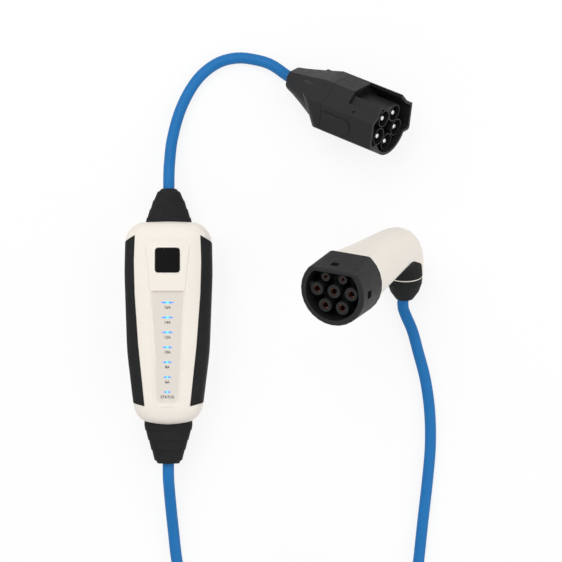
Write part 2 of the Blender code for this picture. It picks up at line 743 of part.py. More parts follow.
def add_cable_entry(name, end):
    """Sheathed end of a lead inside the box, and the saddle that grips it."""
    place, seat = end_wall(end)
    outer = place - end * (seat + BOOT_FLANGE_THICKNESS + GAP)
    inner = outer - end * CABLE_END_LENGTH
    low, high = sorted((outer, inner))
    add_solid(name + "_cable_end", along_y(cylinder(CABLE_RADIUS, low, high, 12), 0.0, BOOT_AXIS_Z), BLUE)
    middle = (outer + inner) / 2
    saddle = block(
        (-CLAMP_HALF_WIDTH, middle - CLAMP_HALF_LENGTH, WALL + GAP),
        (CLAMP_HALF_WIDTH, middle + CLAMP_HALF_LENGTH, BOOT_AXIS_Z + CABLE_RADIUS + WALL), GAP * 2,
    )
    saddle = add_solid(name + "_cable_clamp", saddle)
    hole = cylinder(CABLE_RADIUS + GAP, low - WALL, high + WALL, 16)
    cut(saddle, add_solid("hole", along_y(hole, 0.0, BOOT_AXIS_Z)))
    give_finish(saddle, BLACK)


def add_screws():
    for index, (x, y) in enumerate(SCREW_PLACES):
        top = PARTING_Z + SCREW_BITE
        profile = [
            (0.0, SCREW_SINK), (SCREW_HEAD_RADIUS, SCREW_SINK), (SCREW_HEAD_RADIUS, SCREW_HEAD_Z),
            (SCREW_RADIUS, SCREW_HEAD_Z), (SCREW_RADIUS, top), (0.0, top),
        ]
        add_solid(f"housing_screw_{index + 1}", turned(profile, 12, (x, y)), STEEL)


def add_electronics():
    """Boards and what they carry, each piece seated a clearance above the board."""
    board = block(
        (-BOARD_HALF_WIDTH, BOARD_FOOT_Y, BOARD_Z), (BOARD_HALF_WIDTH, BOARD_TOP_Y, BOARD_TOP_Z),
    )
    add_solid("main_board", board, BOARD_GREEN)
    seat = BOARD_TOP_Z + GAP
    for name, low, high, finish in BOARD_PIECES:
        add_solid(name, block((*low, seat), (high[0], high[1], seat + high[2]), GAP * 2), finish)
    core_x, core_y = SENSOR_PLACE
    core = tube(SENSOR_RADIUS, SENSOR_BORE, seat, seat + SENSOR_HEIGHT, 24, (core_x, core_y))
    add_solid("current_sensor", core, FERRITE)
    can = cylinder(CAPACITOR_RADIUS, seat, seat + CAPACITOR_HEIGHT, 16, CAPACITOR_PLACE)
    add_solid("supply_capacitor", can, BLACK)
    low_z = LED_BOARD_TOP_Z - LED_BOARD_THICKNESS
    led_board = block(
        (-LED_BOARD_HALF_WIDTH, STRIP_FOOT_Y, low_z), (LED_BOARD_HALF_WIDTH, STRIP_TOP_Y, LED_BOARD_TOP_Z),
    )
    add_solid("led_board", led_board, BOARD_GREEN)


def orientation(axis, up):
    """Rotation whose local Z is the axis, with local Y as near to up as it can be."""
    z_axis = Vector(axis).normalized()
    x_axis = Vector(up).cross(z_axis).normalized()
    y_axis = z_axis.cross(x_axis)
    return Matrix((x_axis, y_axis, z_axis)).transposed().to_4x4()


def settle(frame, face_xy, face_z):
    """Move a sub-assembly so that its face is at a place and its lowest point on the table."""
    bpy.context.view_layer.update()
    face = frame.matrix_world @ Vector((0.0, 0.0, face_z))
    lowest = min(
        (frame.matrix_world @ point.co).z for child in frame.children for point in child.data.vertices
    )
    frame.location += Vector((face_xy[0] - face.x, face_xy[1] - face.y, -lowest))
    bpy.context.view_layer.update()


def coupler_outline():
    """Front view of the coupler's middle: flat top, slanted facets, round below."""
    start = math.atan2(COUPLER_FACET_V, -COUPLER_FACET_W)
    sweep = 2 * (math.pi * 1.5 - start)
    arc = [start + sweep * step / COUPLER_ARC_STEPS for step in range(COUPLER_ARC_STEPS + 1)]
    points = [(COUPLER_TOP_HALF, COUPLER_TOP_V), (-COUPLER_TOP_HALF, COUPLER_TOP_V)]
    return points + [(COUPLER_RADIUS * math.cos(angle), COUPLER_RADIUS * math.sin(angle)) for angle in arc]


def coupler_section(name, grow, low, high):
    """Length of the coupler's cross-section, wings and all, grown or shrunk."""
    middle = add_solid(name, prism(grown(coupler_outline(), grow), low, high))
    wings = rounded_rectangle(
        WING_W + grow, (WING_TOP_V - WING_LOW_V) / 2 + grow, WING_CORNER, 3,
        (0.0, (WING_TOP_V + WING_LOW_V) / 2),
    )
    return join(middle, add_solid("wings", prism(wings, low, high)))


def coupler_back():
    """Cone from the cable end to the full section, with the wings' round starts."""
    outline = coupler_outline()
    end = COUPLER_SEAM_Z - GAP / 2
    rounding = COUPLER_REAR_RADIUS * 0.15
    sections = [(0.0, 0.0, rounding), (rounding, 0.0, 0.0)]
    sections += [(COUPLER_CONE_LENGTH * share, share ** 1.15, 0.0) for share in (0.25, 0.5, 0.75, 1.0)]
    sections.append((end + WALL, 1.0, 0.0))
    rings = []
    for height, share, inset in sections:
        ring = []
        for x, y in outline:
            around = Vector((x, y)).normalized() * (COUPLER_REAR_RADIUS - inset)
            point = around.lerp(Vector((x, y)), share)
            ring.append((point.x, point.y, height))
        rings.append(ring)
    back = add_solid("coupler_back_shell", loft(rings))
    start_w = WING_W - (WING_FULL_Z - WING_START_Z)
    far = end + WALL * 2
    corners = [(WING_W, far), (-WING_W, far), (-WING_W, WING_START_Z), (WING_W, WING_START_Z)]
    plan = rounded(corners, [GAP, GAP, WING_W - start_w, WING_W - start_w], [1, 1, 6, 6])
    code = prism(plan, WING_LOW_V, WING_TOP_V)
    along = Matrix(((1, 0, 0, 0), (0, 0, 1, 0), (0, 1, 0, 0), (0, 0, 0, 1)))
    bmesh.ops.transform(code, matrix=along, verts=code.verts)
    join(back, add_solid("wings", code))
    reach = WING_W * 2
    return cut(back, add_solid("beyond", block((-reach, -reach, end), (reach, reach, far * 2))))


def pin_places():
    for index in range(PIN_COUNT):
        angle = math.radians(90 + 36 + 72 * index)
        yield index + 1, PIN_CIRCLE * math.cos(angle), PIN_CIRCLE * math.sin(angle)


def add_coupler():
    frame = add_frame("coupler", orientation(COUPLER_AXIS, COUPLER_UP))
    back = coupler_back()
    give_finish(back, BLACK)
    shroud = coupler_section("coupler_shroud", 0.0, COUPLER_SEAM_Z + GAP / 2, COUPLER_LENGTH)
    slab = WING_PAD_RISE
    for side in (-1, 1):
        pad = rounded_rectangle(*WING_PAD_HALF, WING_PAD_HALF[1] * 0.9, 4, (WING_PAD_Z, WING_PAD_V))
        code = prism(pad, -slab, slab)
        stand = Matrix(((0, 0, side, side * WING_W), (0, 1, 0, 0), (1, 0, 0, 0), (0, 0, 0, 1)))
        bmesh.ops.transform(code, matrix=stand, verts=code.verts)
        join(shroud, add_solid("pad", code))
    cavity = coupler_section("cavity", -SHROUD_WALL, COUPLER_SEAM_Z - WALL, COUPLER_LENGTH + WALL)
    channel = block(
        (CHANNEL_LEFT_W, COUPLER_FACET_V / 2, COUPLER_CHANNEL_Z),
        (CHANNEL_RIGHT_W, COUPLER_TOP_V + WALL, COUPLER_LENGTH + WALL),
    )
    cut(shroud, cavity, add_solid("channel", channel))
    give_finish(shroud, BLACK)
    insert = coupler_section(
        "contact_insert", -SHROUD_WALL - GAP, COUPLER_SEAM_Z + GAP, INSERT_FLOOR_Z,
    )
    tip = COUPLER_LENGTH - SLEEVE_RECESS
    key = block((-KEY_HALF, PIN_CIRCLE * 0.5, INSERT_FLOOR_Z - WALL), (KEY_HALF, KEY_TOP_V, tip - GAP), GAP * 2)
    join(insert, add_solid("key", key))
    for index, x, y in pin_places():
        sleeve = cylinder(SLEEVE_RADIUS, INSERT_FLOOR_Z - WALL, tip, 20, (x, y))
        join(insert, add_solid("sleeve", sleeve))
    for index, x, y in pin_places():
        bore = cylinder(SLEEVE_RADIUS - SLEEVE_WALL, INSERT_FLOOR_Z, tip + WALL, 20, (x, y))
        root = INSERT_FLOOR_Z - PIN_ROOT
        hole = cylinder(PIN_RADIUS + GAP, root - GAP, tip, 12, (x, y))
        cut(insert, add_solid("bore", bore), add_solid("hole", hole))
        top = COUPLER_LENGTH - PIN_RECESS
        profile = [
            (0.0, root), (PIN_RADIUS, root), (PIN_RADIUS, top - PIN_RADIUS),
            (PIN_RADIUS * 0.85, top - PIN_RADIUS * 0.45), (PIN_RADIUS * 0.5, top - PIN_RADIUS * 0.12),
            (0.0, top),
        ]
        add_solid(f"coupler_pin_{index}", turned(profile, 12, (x, y)), STEEL, frame)
    give_finish(insert, BLACK)
    for solid in (back, shroud, insert):
        solid.parent = frame
    settle(frame, COUPLER_FACE_XY, COUPLER_LENGTH)
    return frame


def flat_circle(radius, flat, corner, steps=20):
    """Circle with a flat side at the top, its two corners rounded."""
    centre = Vector((math.sqrt((radius - corner) ** 2 - (flat - corner) ** 2), flat - corner))
    slant = math.atan2(centre.y, centre.x)
    points = []
    for side, start, stop in ((1, slant, math.pi / 2), (-1, math.pi / 2, math.pi - slant)):
        for step in range(4):
            angle = start + (stop - start) * step / 3
            points.append((side * centre.x + corner * math.cos(angle), centre.y + corner * math.sin(angle)))
    points[4:4] = [(centre.x * share, flat) for share in (0.6, 0.2, -0.2, -0.6)]
    sweep = math.pi + 2 * slant
    for step in range(1, steps):
        angle = math.pi - slant + sweep * step / steps
        points.append((radius * math.cos(angle), radius * math.sin(angle)))
    return points


def contact_places():
    """Name, place and kind of the seven contacts."""
    yield "power_contact_1", -CONTACT_PITCH, 0.0, True
    yield "power_contact_2", 0.0, 0.0, True
    yield "power_contact_3", CONTACT_PITCH, 0.0, True
    yield "power_contact_4", -CONTACT_PITCH / 2, CONTACT_LOWER_Y, True
    yield "power_contact_5", CONTACT_PITCH / 2, CONTACT_LOWER_Y, True
    yield "signal_contact_1", -CONTACT_PITCH / 2, CONTACT_UPPER_Y, False
    yield "signal_contact_2", CONTACT_PITCH / 2, CONTACT_UPPER_Y, False


def handle_path(share):
    """Centre (y, z) and heading of the handle's bent axis at a share of its length."""
    steps = max(1, round(share * 40))
    y, z, turn = 0.0, -COLLAR_DEPTH - GAP, 0.0
    for step in range(steps):
        middle = (step + 0.5) * share / steps
        bend = min(1.0, max(0.0, (middle - HANDLE_BEND_START) / (1.0 - HANDLE_BEND_START)))
        turn = HANDLE_TURN * bend * bend * (3 - 2 * bend)
        y -= math.sin(turn) * HANDLE_LENGTH * share / steps
        z -= math.cos(turn) * HANDLE_LENGTH * share / steps
    bend = min(1.0, max(0.0, (share - HANDLE_BEND_START) / (1.0 - HANDLE_BEND_START)))
    return Vector((0.0, y, z)), HANDLE_TURN * bend * bend * (3 - 2 * bend)


def handle_ring(share, grow):
    """Ring of the handle: flat-sided at the collar, round further back."""
    start = flat_circle(COLLAR_BACK_RADIUS, COLLAR_BACK_FLAT, COLLAR_CORNER)
    radius = HANDLE_START_RADIUS + (HANDLE_END_RADIUS - HANDLE_START_RADIUS) * share ** HANDLE_TAPER
    centre, turn = handle_path(share)
    place = Matrix.Translation(centre) @ Matrix.Rotation(-turn, 4, "X")
    ring = []
    for point in start:
        flat = Vector(point) * (radius + grow) / COLLAR_BACK_RADIUS
        round_ = Vector(point).normalized() * (radius + grow)
        shape = flat.lerp(round_, min(1.0, share * 2.5))
        ring.append(tuple(place @ Vector((shape.x, shape.y, 0.0))))
    return ring


def handle_shares():
    return [step / HANDLE_RINGS for step in range(HANDLE_RINGS + 1)]


def inlay_zone(side, clearance):
    """Column of space, along X, that a grip inlay takes up on one side of the handle."""
    end, turn = handle_path(1.0)
    corners = [(end.y + y, end.z - z) for y, z in INLAY_CORNERS]
    outline = grown(rounded(corners, INLAY_RADII, [2, 4, 5]), clearance)
    reach = COLLAR_BACK_RADIUS
    low = [(side * INLAY_INNER_X, y, z) for y, z in outline]
    high = [(side * reach, y, z) for y, z in outline]
    return add_solid("zone", loft([low, high]))


def handle_form(grow, extra=0.0):
    """Closed outer form of the handle, grown or shrunk, with both ends moved out by extra."""
    rings = [handle_ring(share, grow) for share in handle_shares()]
    centre, turn = handle_path(1.0)
    ahead = Vector((0.0, -math.sin(turn), -math.cos(turn)))
    if extra:
        rings.insert(0, [(x, y, z + extra) for x, y, z in rings[0]])
        rings.append([tuple(Vector(point) + ahead * extra) for point in rings[-1]])
    return loft(rings)


def add_handle():
    """Bent hollow handle, with both inlays let into its sides."""
    outer = [handle_ring(share, 0.0) for share in handle_shares()]
    inner = [handle_ring(share, -HANDLE_WALL) for share in reversed(handle_shares())]
    handle = add_solid("connector_handle", loft(outer + inner, endless=True))
    for side, name in ((1, "right_inlay"), (-1, "left_inlay")):
        recess = inlay_zone(side, GAP)
        cut(recess, add_solid("core", handle_form(-INLAY_DEPTH - GAP, WALL)))
        cut(handle, recess)
        inlay = add_solid(name, handle_form(GAP))
        cut(inlay, add_solid("core", handle_form(-INLAY_DEPTH, WALL)))
        keep(inlay, inlay_zone(side, 0.0))
        give_finish(inlay, RUBBER)
        yield inlay
    give_finish(handle, CREAM)
    yield handle


def add_handle_boot():
    """Boot below the handle, with a spigot that fills the handle's end."""
    centre, turn = handle_path(1.0)
    spigot = HANDLE_END_RADIUS - HANDLE_WALL - GAP
    flare = HANDLE_END_RADIUS
    length = HANDLE_BOOT_LENGTH
    profile = [
        (0.0, -WALL * 2), (spigot, -WALL * 2), (spigot, GAP), (flare, GAP), (flare * 0.97, length * 0.30),
        (flare * 0.80, length * 0.68), (HANDLE_BOOT_TIP + BOOT_RIB_STEP * 2, length * 0.92),
        (HANDLE_BOOT_TIP, length), (0.0, length),
    ]
    code = turned(profile, 24)
    facing = Matrix.Rotation(math.pi, 4, "X")
    place = Matrix.Translation(centre) @ Matrix.Rotation(-turn, 4, "X") @ facing
    bmesh.ops.transform(code, matrix=place, verts=code.verts)
    return add_solid("connector_boot", code, RUBBER)


def add_collar():
    lip = GAP * 4
    outer = [
        (-COLLAR_DEPTH, COLLAR_BACK_RADIUS, COLLAR_BACK_FLAT),
        (-lip, COLLAR_RADIUS, COLLAR_FLAT), (0.0, COLLAR_RADIUS - lip, COLLAR_FLAT - lip),
    ]
    rings = [at_height(flat_circle(radius, flat, COLLAR_CORNER), z) for z, radius, flat in outer]
    collar = add_solid("connector_collar", loft(rings))
    cavity = prism(flat_circle(CAVITY_RADIUS, CAVITY_FLAT, CAVITY_CORNER), -COLLAR_DEPTH - WALL, WALL)
    cut(collar, add_solid("cavity", cavity))
    half = LATCH_HOLE / 2
    top = block(
        (LATCH_HOLE_X - half, CAVITY_FLAT - WALL, LATCH_HOLE_Z - half),
        (LATCH_HOLE_X + half, COLLAR_BACK_FLAT + WALL, LATCH_HOLE_Z + half),
    )
    cut(collar, add_solid("latch", top))
    for side in (-1, 1):
        low, high = sorted((side * CAVITY_FLAT, side * (COLLAR_BACK_RADIUS + WALL)))
        hole = block(
            (low, -half, LATCH_HOLE_Z - half), (high, half, LATCH_HOLE_Z + half),
        )
        cut(collar, add_solid("latch", hole))
    give_finish(collar, BLACK)
    return collar


def add_carrier(frame):
    """Contact carrier: a plug that fills the back of the collar, with seven sleeves."""
    base = flat_circle(CAVITY_RADIUS - GAP, CAVITY_FLAT - GAP, CAVITY_CORNER)
    carrier = add_solid("contact_carrier", prism(base, -COLLAR_DEPTH + GAP, -CAVITY_DEPTH))
    for name, x, y, power in contact_places():
        radius = POWER_SLEEVE_RADIUS if power else SIGNAL_SLEEVE_RADIUS
        sleeve = cylinder(radius, -CAVITY_DEPTH - WALL, -FRONT_RECESS, 20, (x, y))
        join(carrier, add_solid("sleeve", sleeve))
    shelf = -FRONT_RECESS - CONTACT_RECESS
    root = -COLLAR_DEPTH + WALL
    for name, x, y, power in contact_places():
        bore = POWER_BORE_RADIUS if power else SIGNAL_BORE_RADIUS
        mouth = bore - CONTACT_WALL + GAP / 2
        pocket = cylinder(bore, root - COLLAR_DEPTH, shelf, 12, (x, y))
        opening = cylinder(mouth, shelf - WALL, 0.0, 12, (x, y))
        cut(carrier, add_solid("pocket", pocket), add_solid("opening", opening))
        outer = bore - GAP
        inner = outer - CONTACT_WALL
        floor = root + WALL
        profile = [
            (0.0, root), (outer, root), (outer, shelf - GAP), (inner, shelf - GAP), (inner, floor), (0.0, floor),
        ]
        add_solid(name, turned(profile, 12, (x, y)), COPPER, frame)
    give_finish(carrier, BLACK)
    return carrier


def add_connector():
    frame = add_frame("connector", orientation(CONNECTOR_AXIS, CONNECTOR_UP))
    pieces = [add_collar(), add_carrier(frame), add_handle_boot(), *add_handle()]
    for piece in pieces:
        piece.parent = frame
    settle(frame, CONNECTOR_FACE_XY, 0.0)
    return frame


def smooth_route(points, spacing):
    """Evenly spaced points on a smooth curve through hand-chosen ones."""
    knots = [Vector(point) for point in points]
    fine = [knots[0]]
    for index in range(len(knots) - 1):
        start, stop = knots[index], knots[index + 1]
        before = knots[index - 1] if index else start - (stop - start)
        after = knots[index + 2] if index + 2 < len(knots) else stop + (stop - start)
        reach = (stop - start).length
        leave = start + (stop - before) * (reach / ((stop - start).length + (start - before).length) / 3)
        arrive = stop - (after - start) * (reach / ((stop - start).length + (after - stop).length) / 3)
        fine += interpolate_bezier(start, leave, arrive, stop, 24)[1:]
    lengths = [(b - a).length for a, b in zip(fine, fine[1:])]
    total = sum(lengths)
    count = max(2, round(total / spacing))
    route, target, run, index = [fine[0]], total / count, 0.0, 0
    for step in range(1, count):
        while run + lengths[index] < target * step:
            run += lengths[index]
            index += 1
        route.append(fine[index].lerp(fine[index + 1], (target * step - run) / lengths[index]))
    return route + [fine[-1]]


def add_cable(name, leaving, points, arriving=()):
    """Round cable along a route, straight where it leaves one boot and arrives at another."""
    curve = bpy.data.curves.new(name, "CURVE")
    curve.dimensions = "3D"
    curve.bevel_depth = CABLE_RADIUS
    curve.bevel_resolution = 2
    curve.resolution_u = 1
    curve.render_resolution_u = 0
    curve.use_fill_caps = True
    route = smooth_route([*leaving, *points, *arriving], CABLE_DIAMETER * 2)
    route[1:1] = leaving[1:]
    route[-1:-1] = arriving[:-1]
    spline = curve.splines.new("POLY")
    spline.points.add(len(route) - 1)
    for point, place in zip(spline.points, route):
        point.co = (*place, 1.0)
    cable = bpy.data.objects.new(name, curve)
    bpy.context.scene.collection.objects.link(cable)
    give_finish(cable, BLUE)


def exit_points(frame, place, direction):
    """Start of a cable at a boot's end, and a point straight on from it."""
    start = frame @ Vector(place)
    heading = (frame.to_3x3() @ Vector(direction)).normalized()
    return start + heading * GAP, start + heading * (GAP + CABLE_DIAMETER)


def add_leads(coupler, connector):
    upright = Matrix.Identity(4)
    upper_end = (0.0, BOX_TOP_Y + UPPER_BOOT_LENGTH, BOOT_AXIS_Z)
    lower_end = (0.0, BOX_BOTTOM_Y - LOWER_BOOT_LENGTH, BOOT_AXIS_Z)
    leaving = exit_points(upright, upper_end, (0, 1, 0))
    arriving = exit_points(coupler.matrix_world, (0, 0, 0), (0, 0, -1))
    add_cable("supply_lead", leaving, SUPPLY_ROUTE, arriving[::-1])
    leaving = exit_points(upright, lower_end, (0, -1, 0))
    add_cable("charge_lead_box_side", leaving, [*BOX_SIDE_ROUTE, BOX_SIDE_END])
    centre, turn = handle_path(1.0)
    ahead = Vector((0.0, -math.sin(turn), -math.cos(turn)))
    end = centre + ahead * HANDLE_BOOT_LENGTH
    leaving = exit_points(connector.matrix_world, end, ahead)
    add_cable("charge_lead_plug_side", leaving, [*PLUG_SIDE_ROUTE, PLUG_SIDE_END])


def add_coil():
    half = COIL_TURNS_ACROSS * CABLE_DIAMETER / 2
    outer, inner = COIL_MIDDLE_RADIUS + half, COIL_MIDDLE_RADIUS - half
    high = COIL_LAYERS * CABLE_DIAMETER
    soft = CABLE_RADIUS / 2
    profile = [
        (outer - soft, 0.0), (outer, soft), (outer, high - soft), (outer - soft, high),
        (inner + soft, high), (inner, high - soft), (inner, soft), (inner + soft, 0.0),
    ]
    add_solid("charge_lead_coil", turned(profile, 40, COIL_CENTRE), BLUE)


def build():
    clear_scene()
    add_front_shell()
    add_rear_shell()
    add_gasket("gasket_left", -1)
    add_gasket("gasket_right", 1)
    add_grip("grip_left", -1)
    add_grip("grip_right", 1)
    add_front_pieces()
    add_boot("upper_boot", 1)
    add_boot("lower_boot", -1)
    add_cable_entry("supply", 1)
    add_cable_entry("charge", -1)
    add_screws()
    add_electronics()
    add_leads(add_coupler(), add_connector())
    add_coil()


build()
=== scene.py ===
"""Looks of the portable car charger: cables, finishes, printed labels and fine forms.

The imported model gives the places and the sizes. The coupler, the connector's handle and
the box's channel are shaped anew here, close to their solids. Lengths are in metres, +Z
is up from the table, and the control box lies at the origin with its front upwards.
"""
import json
import math

import bmesh
import bpy
from mathutils import Matrix, Vector
from mathutils.geometry import interpolate_bezier

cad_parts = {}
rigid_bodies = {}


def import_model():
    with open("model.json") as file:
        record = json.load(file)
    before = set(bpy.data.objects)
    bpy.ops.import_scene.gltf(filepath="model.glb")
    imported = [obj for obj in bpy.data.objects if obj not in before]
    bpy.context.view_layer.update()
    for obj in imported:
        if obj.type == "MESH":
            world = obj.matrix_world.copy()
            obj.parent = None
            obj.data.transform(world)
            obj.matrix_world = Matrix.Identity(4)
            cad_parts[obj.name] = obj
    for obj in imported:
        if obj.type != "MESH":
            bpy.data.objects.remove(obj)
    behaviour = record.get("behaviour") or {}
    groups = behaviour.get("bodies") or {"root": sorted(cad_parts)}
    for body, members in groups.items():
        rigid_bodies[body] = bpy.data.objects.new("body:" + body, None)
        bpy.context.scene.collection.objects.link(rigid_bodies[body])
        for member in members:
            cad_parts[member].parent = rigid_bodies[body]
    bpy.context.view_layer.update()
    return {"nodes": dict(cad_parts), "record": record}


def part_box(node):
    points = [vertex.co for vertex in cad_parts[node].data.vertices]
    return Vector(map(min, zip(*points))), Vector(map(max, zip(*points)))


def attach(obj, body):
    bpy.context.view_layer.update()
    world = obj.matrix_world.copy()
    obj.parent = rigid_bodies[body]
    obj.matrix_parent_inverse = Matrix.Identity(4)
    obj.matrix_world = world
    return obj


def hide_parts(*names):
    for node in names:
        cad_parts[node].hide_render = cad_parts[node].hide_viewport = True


for item in list(bpy.data.objects):
    bpy.data.objects.remove(item, do_unlink=True)
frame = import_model()

# View from above: what the camera looks at, how far away it is and how wide it sees.
VIEW_CENTRE = Vector((0.1077, 0.0439, 0.0))
VIEW_DISTANCE = 2.2
VIEW_ELEVATION = math.radians(88)
VIEW_WIDTH = 0.5451
SENSOR = 36.0

# Cable: its thickness, the straight length at an exit, how far it runs straight into the
# coupler, and the fineness of its line.
CABLE_DIAMETER = 0.011
STRAIGHT = CABLE_DIAMETER
COUPLER_LEAD_IN = 0.0040
ROUTE_STEPS = 24
COIL_STEPS_LEAST = 6

# Where the cable leaves the box's two boots.
BOOT_AXIS_Z = 0.025
UPPER_EXIT = Vector((0.0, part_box("upper_boot")[1].y, BOOT_AXIS_Z))
LOWER_EXIT = Vector((0.0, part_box("lower_boot")[0].y, BOOT_AXIS_Z))

# Merging of a mesh: what counts as one point, and as one flat face.
WELD_DISTANCE = 0.000002
FLAT_ANGLE = math.radians(0.6)

# Coupler: its axis, its upper side, the place of its face and how far that is moved.
COUPLER_AXIS = Vector((0.7970, -0.3810, 0.4690)).normalized()
COUPLER_UP = Vector((0.0960, 0.8355, 0.5410))
COUPLER_FACE_XY = (0.2142, 0.1810)
COUPLER_NUDGE = (-0.0026, 0.0049, 0.0)

# Coupler's front view, x to its right and y up, and the depths of its parts behind the face.
# Each wing starts later at its foot than at its top, by its slope.
COUPLER_TOP = (0.0140, 0.0310)
COUPLER_SHOULDER = (0.0235, 0.0215)
COUPLER_ROUND = 0.0265
COUPLER_ROUND_FROM_Y = 0.0046
COUPLER_WALL = 0.0028
WING_ROOT = (0.0200, 0.0238)
WING_SIDE = 0.0335
WING_TOP_Y = 0.0160
WING_FOOT_Y = -0.0120
WING_CORNERS = (0.0010, 0.0030)
COUPLER_DEPTH = 0.1180
CONE_DEPTH = 0.0690
WING_TIP_DEPTH = 0.0880
WING_DEPTH = 0.0740
WING_START_SLOPE = 0.5
SEAM_DEPTH = 0.0590
CHANNEL_DEPTH = 0.0355
FLOOR_DEPTH = 0.0375
SLEEVE_DEPTH = 0.0035
PIN_DEPTH = 0.0048
CABLE_END = Vector((0.0, 0.0110, -COUPLER_DEPTH))
CABLE_END_RADIUS = 0.0122
CABLE_END_ROUNDING = 0.2
CONE_STEPS = 8
CONE_SWELL = 1.12
FIRST_PIN_ANGLE = 126
CHANNEL_SIDES = (-0.0232, 0.0124)
KEY_SIZE = (0.0102, 0.0218)
RIDGE_CORNERS = ((-0.0140, 0.0265), (-0.0212, 0.0193), (-0.0190, 0.0171), (-0.0118, 0.0243))
PIN_CIRCLE = 0.0150
PIN_RADIUS = 0.0026
PIN_TIP_ROUNDING = 0.55
SLEEVE_RADIUS = 0.0085
SLEEVE_WALL = 0.0010
PAD_HALF = (0.0158, 0.0085)
PAD_CORNER = 0.0075
PAD_CENTRE = (-0.0408, 0.0010)
HOLE_PLACE = (-0.0290, 0.0250)
HOLE_RADIUS = 0.0012
PAD_RISE = 0.0007
SMALL_GAP = 0.0003

# Vehicle connector: the same values, and the form and bend of its handle, which is fully
# round at a share of its length.
CONNECTOR_AXIS = Vector((-0.4500, -0.3300, 0.8300)).normalized()
CONNECTOR_UP = Vector((0.0100, 0.9300, 0.3700))
CONNECTOR_FACE_XY = (0.1570, 0.0240)
CONNECTOR_NUDGE = (-0.0037, 0.0033, 0.0)
COLLAR_DEPTH = 0.0383
COLLAR_BACK = (0.0322, 0.0258, 0.0060)
HANDLE_LENGTH = 0.1480
HANDLE_BEND_START = 0.60
HANDLE_TURN = math.radians(88)
HANDLE_RADII = (0.0306, 0.0172)
HANDLE_TAPER = 0.75
HANDLE_RINGS = 24
HANDLE_STEPS = 40
HANDLE_ROUND_AT = 0.4
INLAY_INNER = 0.1
HANDLE_BEND = 0.0385
CONNECTOR_BOOT_LENGTH = 0.0230
INLAY_CORNERS = ((-0.0166, 0.0013), (0.0166, 0.0013), (0.0150, 0.0165), (0.0020, 0.0285))
INLAY_RADII = (0.0006, 0.0010, 0.0080, 0.0070)
INLAYS = (("right_inlay", math.radians(27)), ("left_inlay", math.radians(-130)))
INLAY_RECESS = 0.0010

# Printing on the strip: the figures' height, how far below its window each stands, how far
# it rises, its type's size against its height, and how much its strokes swell.
LABELS = ("16A", "14A", "12A", "10A", "8A", "6A", "STATUS")
LABEL_HEIGHT = 0.0026
LABEL_DROP = 0.0048
PRINT_RISE = 0.00008
TYPE_SIZE = 1.40
TYPE_SWELL = 0.00006
WINDOW_HALF_HEIGHT = 0.00105
WINDOW_RISE = 0.00035
WINDOW_POINT = 0.25

# Channel in the box's front: half widths, flanks and rounded foot.
CHANNEL_TOP_Y = 0.0334
CHANNEL_FOOT_Y = -0.0775
CHANNEL_HALF = (0.0165, 0.0135)
CHANNEL_FLANK = (0.0030, 0.0062)
CHANNEL_FOOT_RADIUS = 0.0090
CHANNEL_WALL = 0.0008
CHANNEL_STEPS = (56, 120)

# End of the upper boot, which is drawn in.
SHOULDER_LENGTH = 0.0100
SHOULDER_DEPTH = 0.18

# Badge: the pale line around it, and how the panel that it lies on slopes.
LINE_WIDTH = 0.0010
LINE_CORNER = 0.0031
LINE_HEIGHTS = (0.0, 0.0006, 0.0005, -0.0004)
PANEL_FOOT_Y = 0.0331
PANEL_TOP_Y = 0.0820
PANEL_RISE = 0.0012
PANEL_TOP_BAND = (-0.0090, 0.0015)
PANEL_SKIN = 0.0006
PANEL_FLAT_ANGLE = math.radians(9)
FRONT_Z = 0.0500

# Coil of the put-away length: turns lie a diameter apart in two layers.
COIL_CENTRE = Vector((0.1280, -0.3380, 0.0))
COIL_OUTER = 0.0935
COIL_INNER = 0.0385
COIL_LOW_Z = CABLE_DIAMETER / 2
COIL_HIGH_Z = COIL_LOW_Z + CABLE_DIAMETER
COIL_POINTS_A_TURN = 36
COIL_LOW_TURNS = 5.0
COIL_CLIMB_TURNS = 0.25

# Routes of the leads between the pieces they join, as points chosen along them.
SUPPLY_ROUTE = (
    (0.0003, 0.1550, 0.0215), (0.0028, 0.1810, 0.0138), (0.0115, 0.2125, 0.0080),
    (0.0268, 0.2395, 0.0060), (0.0455, 0.2550, 0.0057), (0.0650, 0.2603, 0.0058),
    (0.0850, 0.2580, 0.0066), (0.0990, 0.2530, 0.0086),
)
BOX_SIDE_ROUTE = (
    (0.0005, -0.1530, 0.0220), (0.0020, -0.1740, 0.0140), (0.0040, -0.1960, 0.0075),
    (0.0070, -0.2230, 0.0060), (0.0130, -0.2550, 0.0058), (0.0220, -0.2860, 0.0058),
    (0.0267, -0.3120, 0.0058),
)
PLUG_SIDE_ROUTE = (
    (0.2345, -0.0040, 0.0064), (0.2400, -0.0240, 0.0058), (0.2470, -0.0510, 0.0056),
    (0.2512, -0.0820, 0.0056), (0.2518, -0.1150, 0.0056), (0.2488, -0.1500, 0.0056),
    (0.2444, -0.1880, 0.0056), (0.2400, -0.2280, 0.0058), (0.2355, -0.2600, 0.0064),
    (0.2320, -0.2870, 0.0095),
    (0.2293, -0.3120, 0.0130),
)

# Light: the world's strength, and the lamps by name, place, size and power.
SOFT_LIGHT = 0.62
LAMPS = (
    ("top_light", (-0.55, 0.75, 1.70), 1.4, 13.0),
    ("side_light", (1.30, -0.40, 1.20), 1.2, 5.0),
)
TABLE_SEEN = 0.80
TABLE_GLOW = 1.03

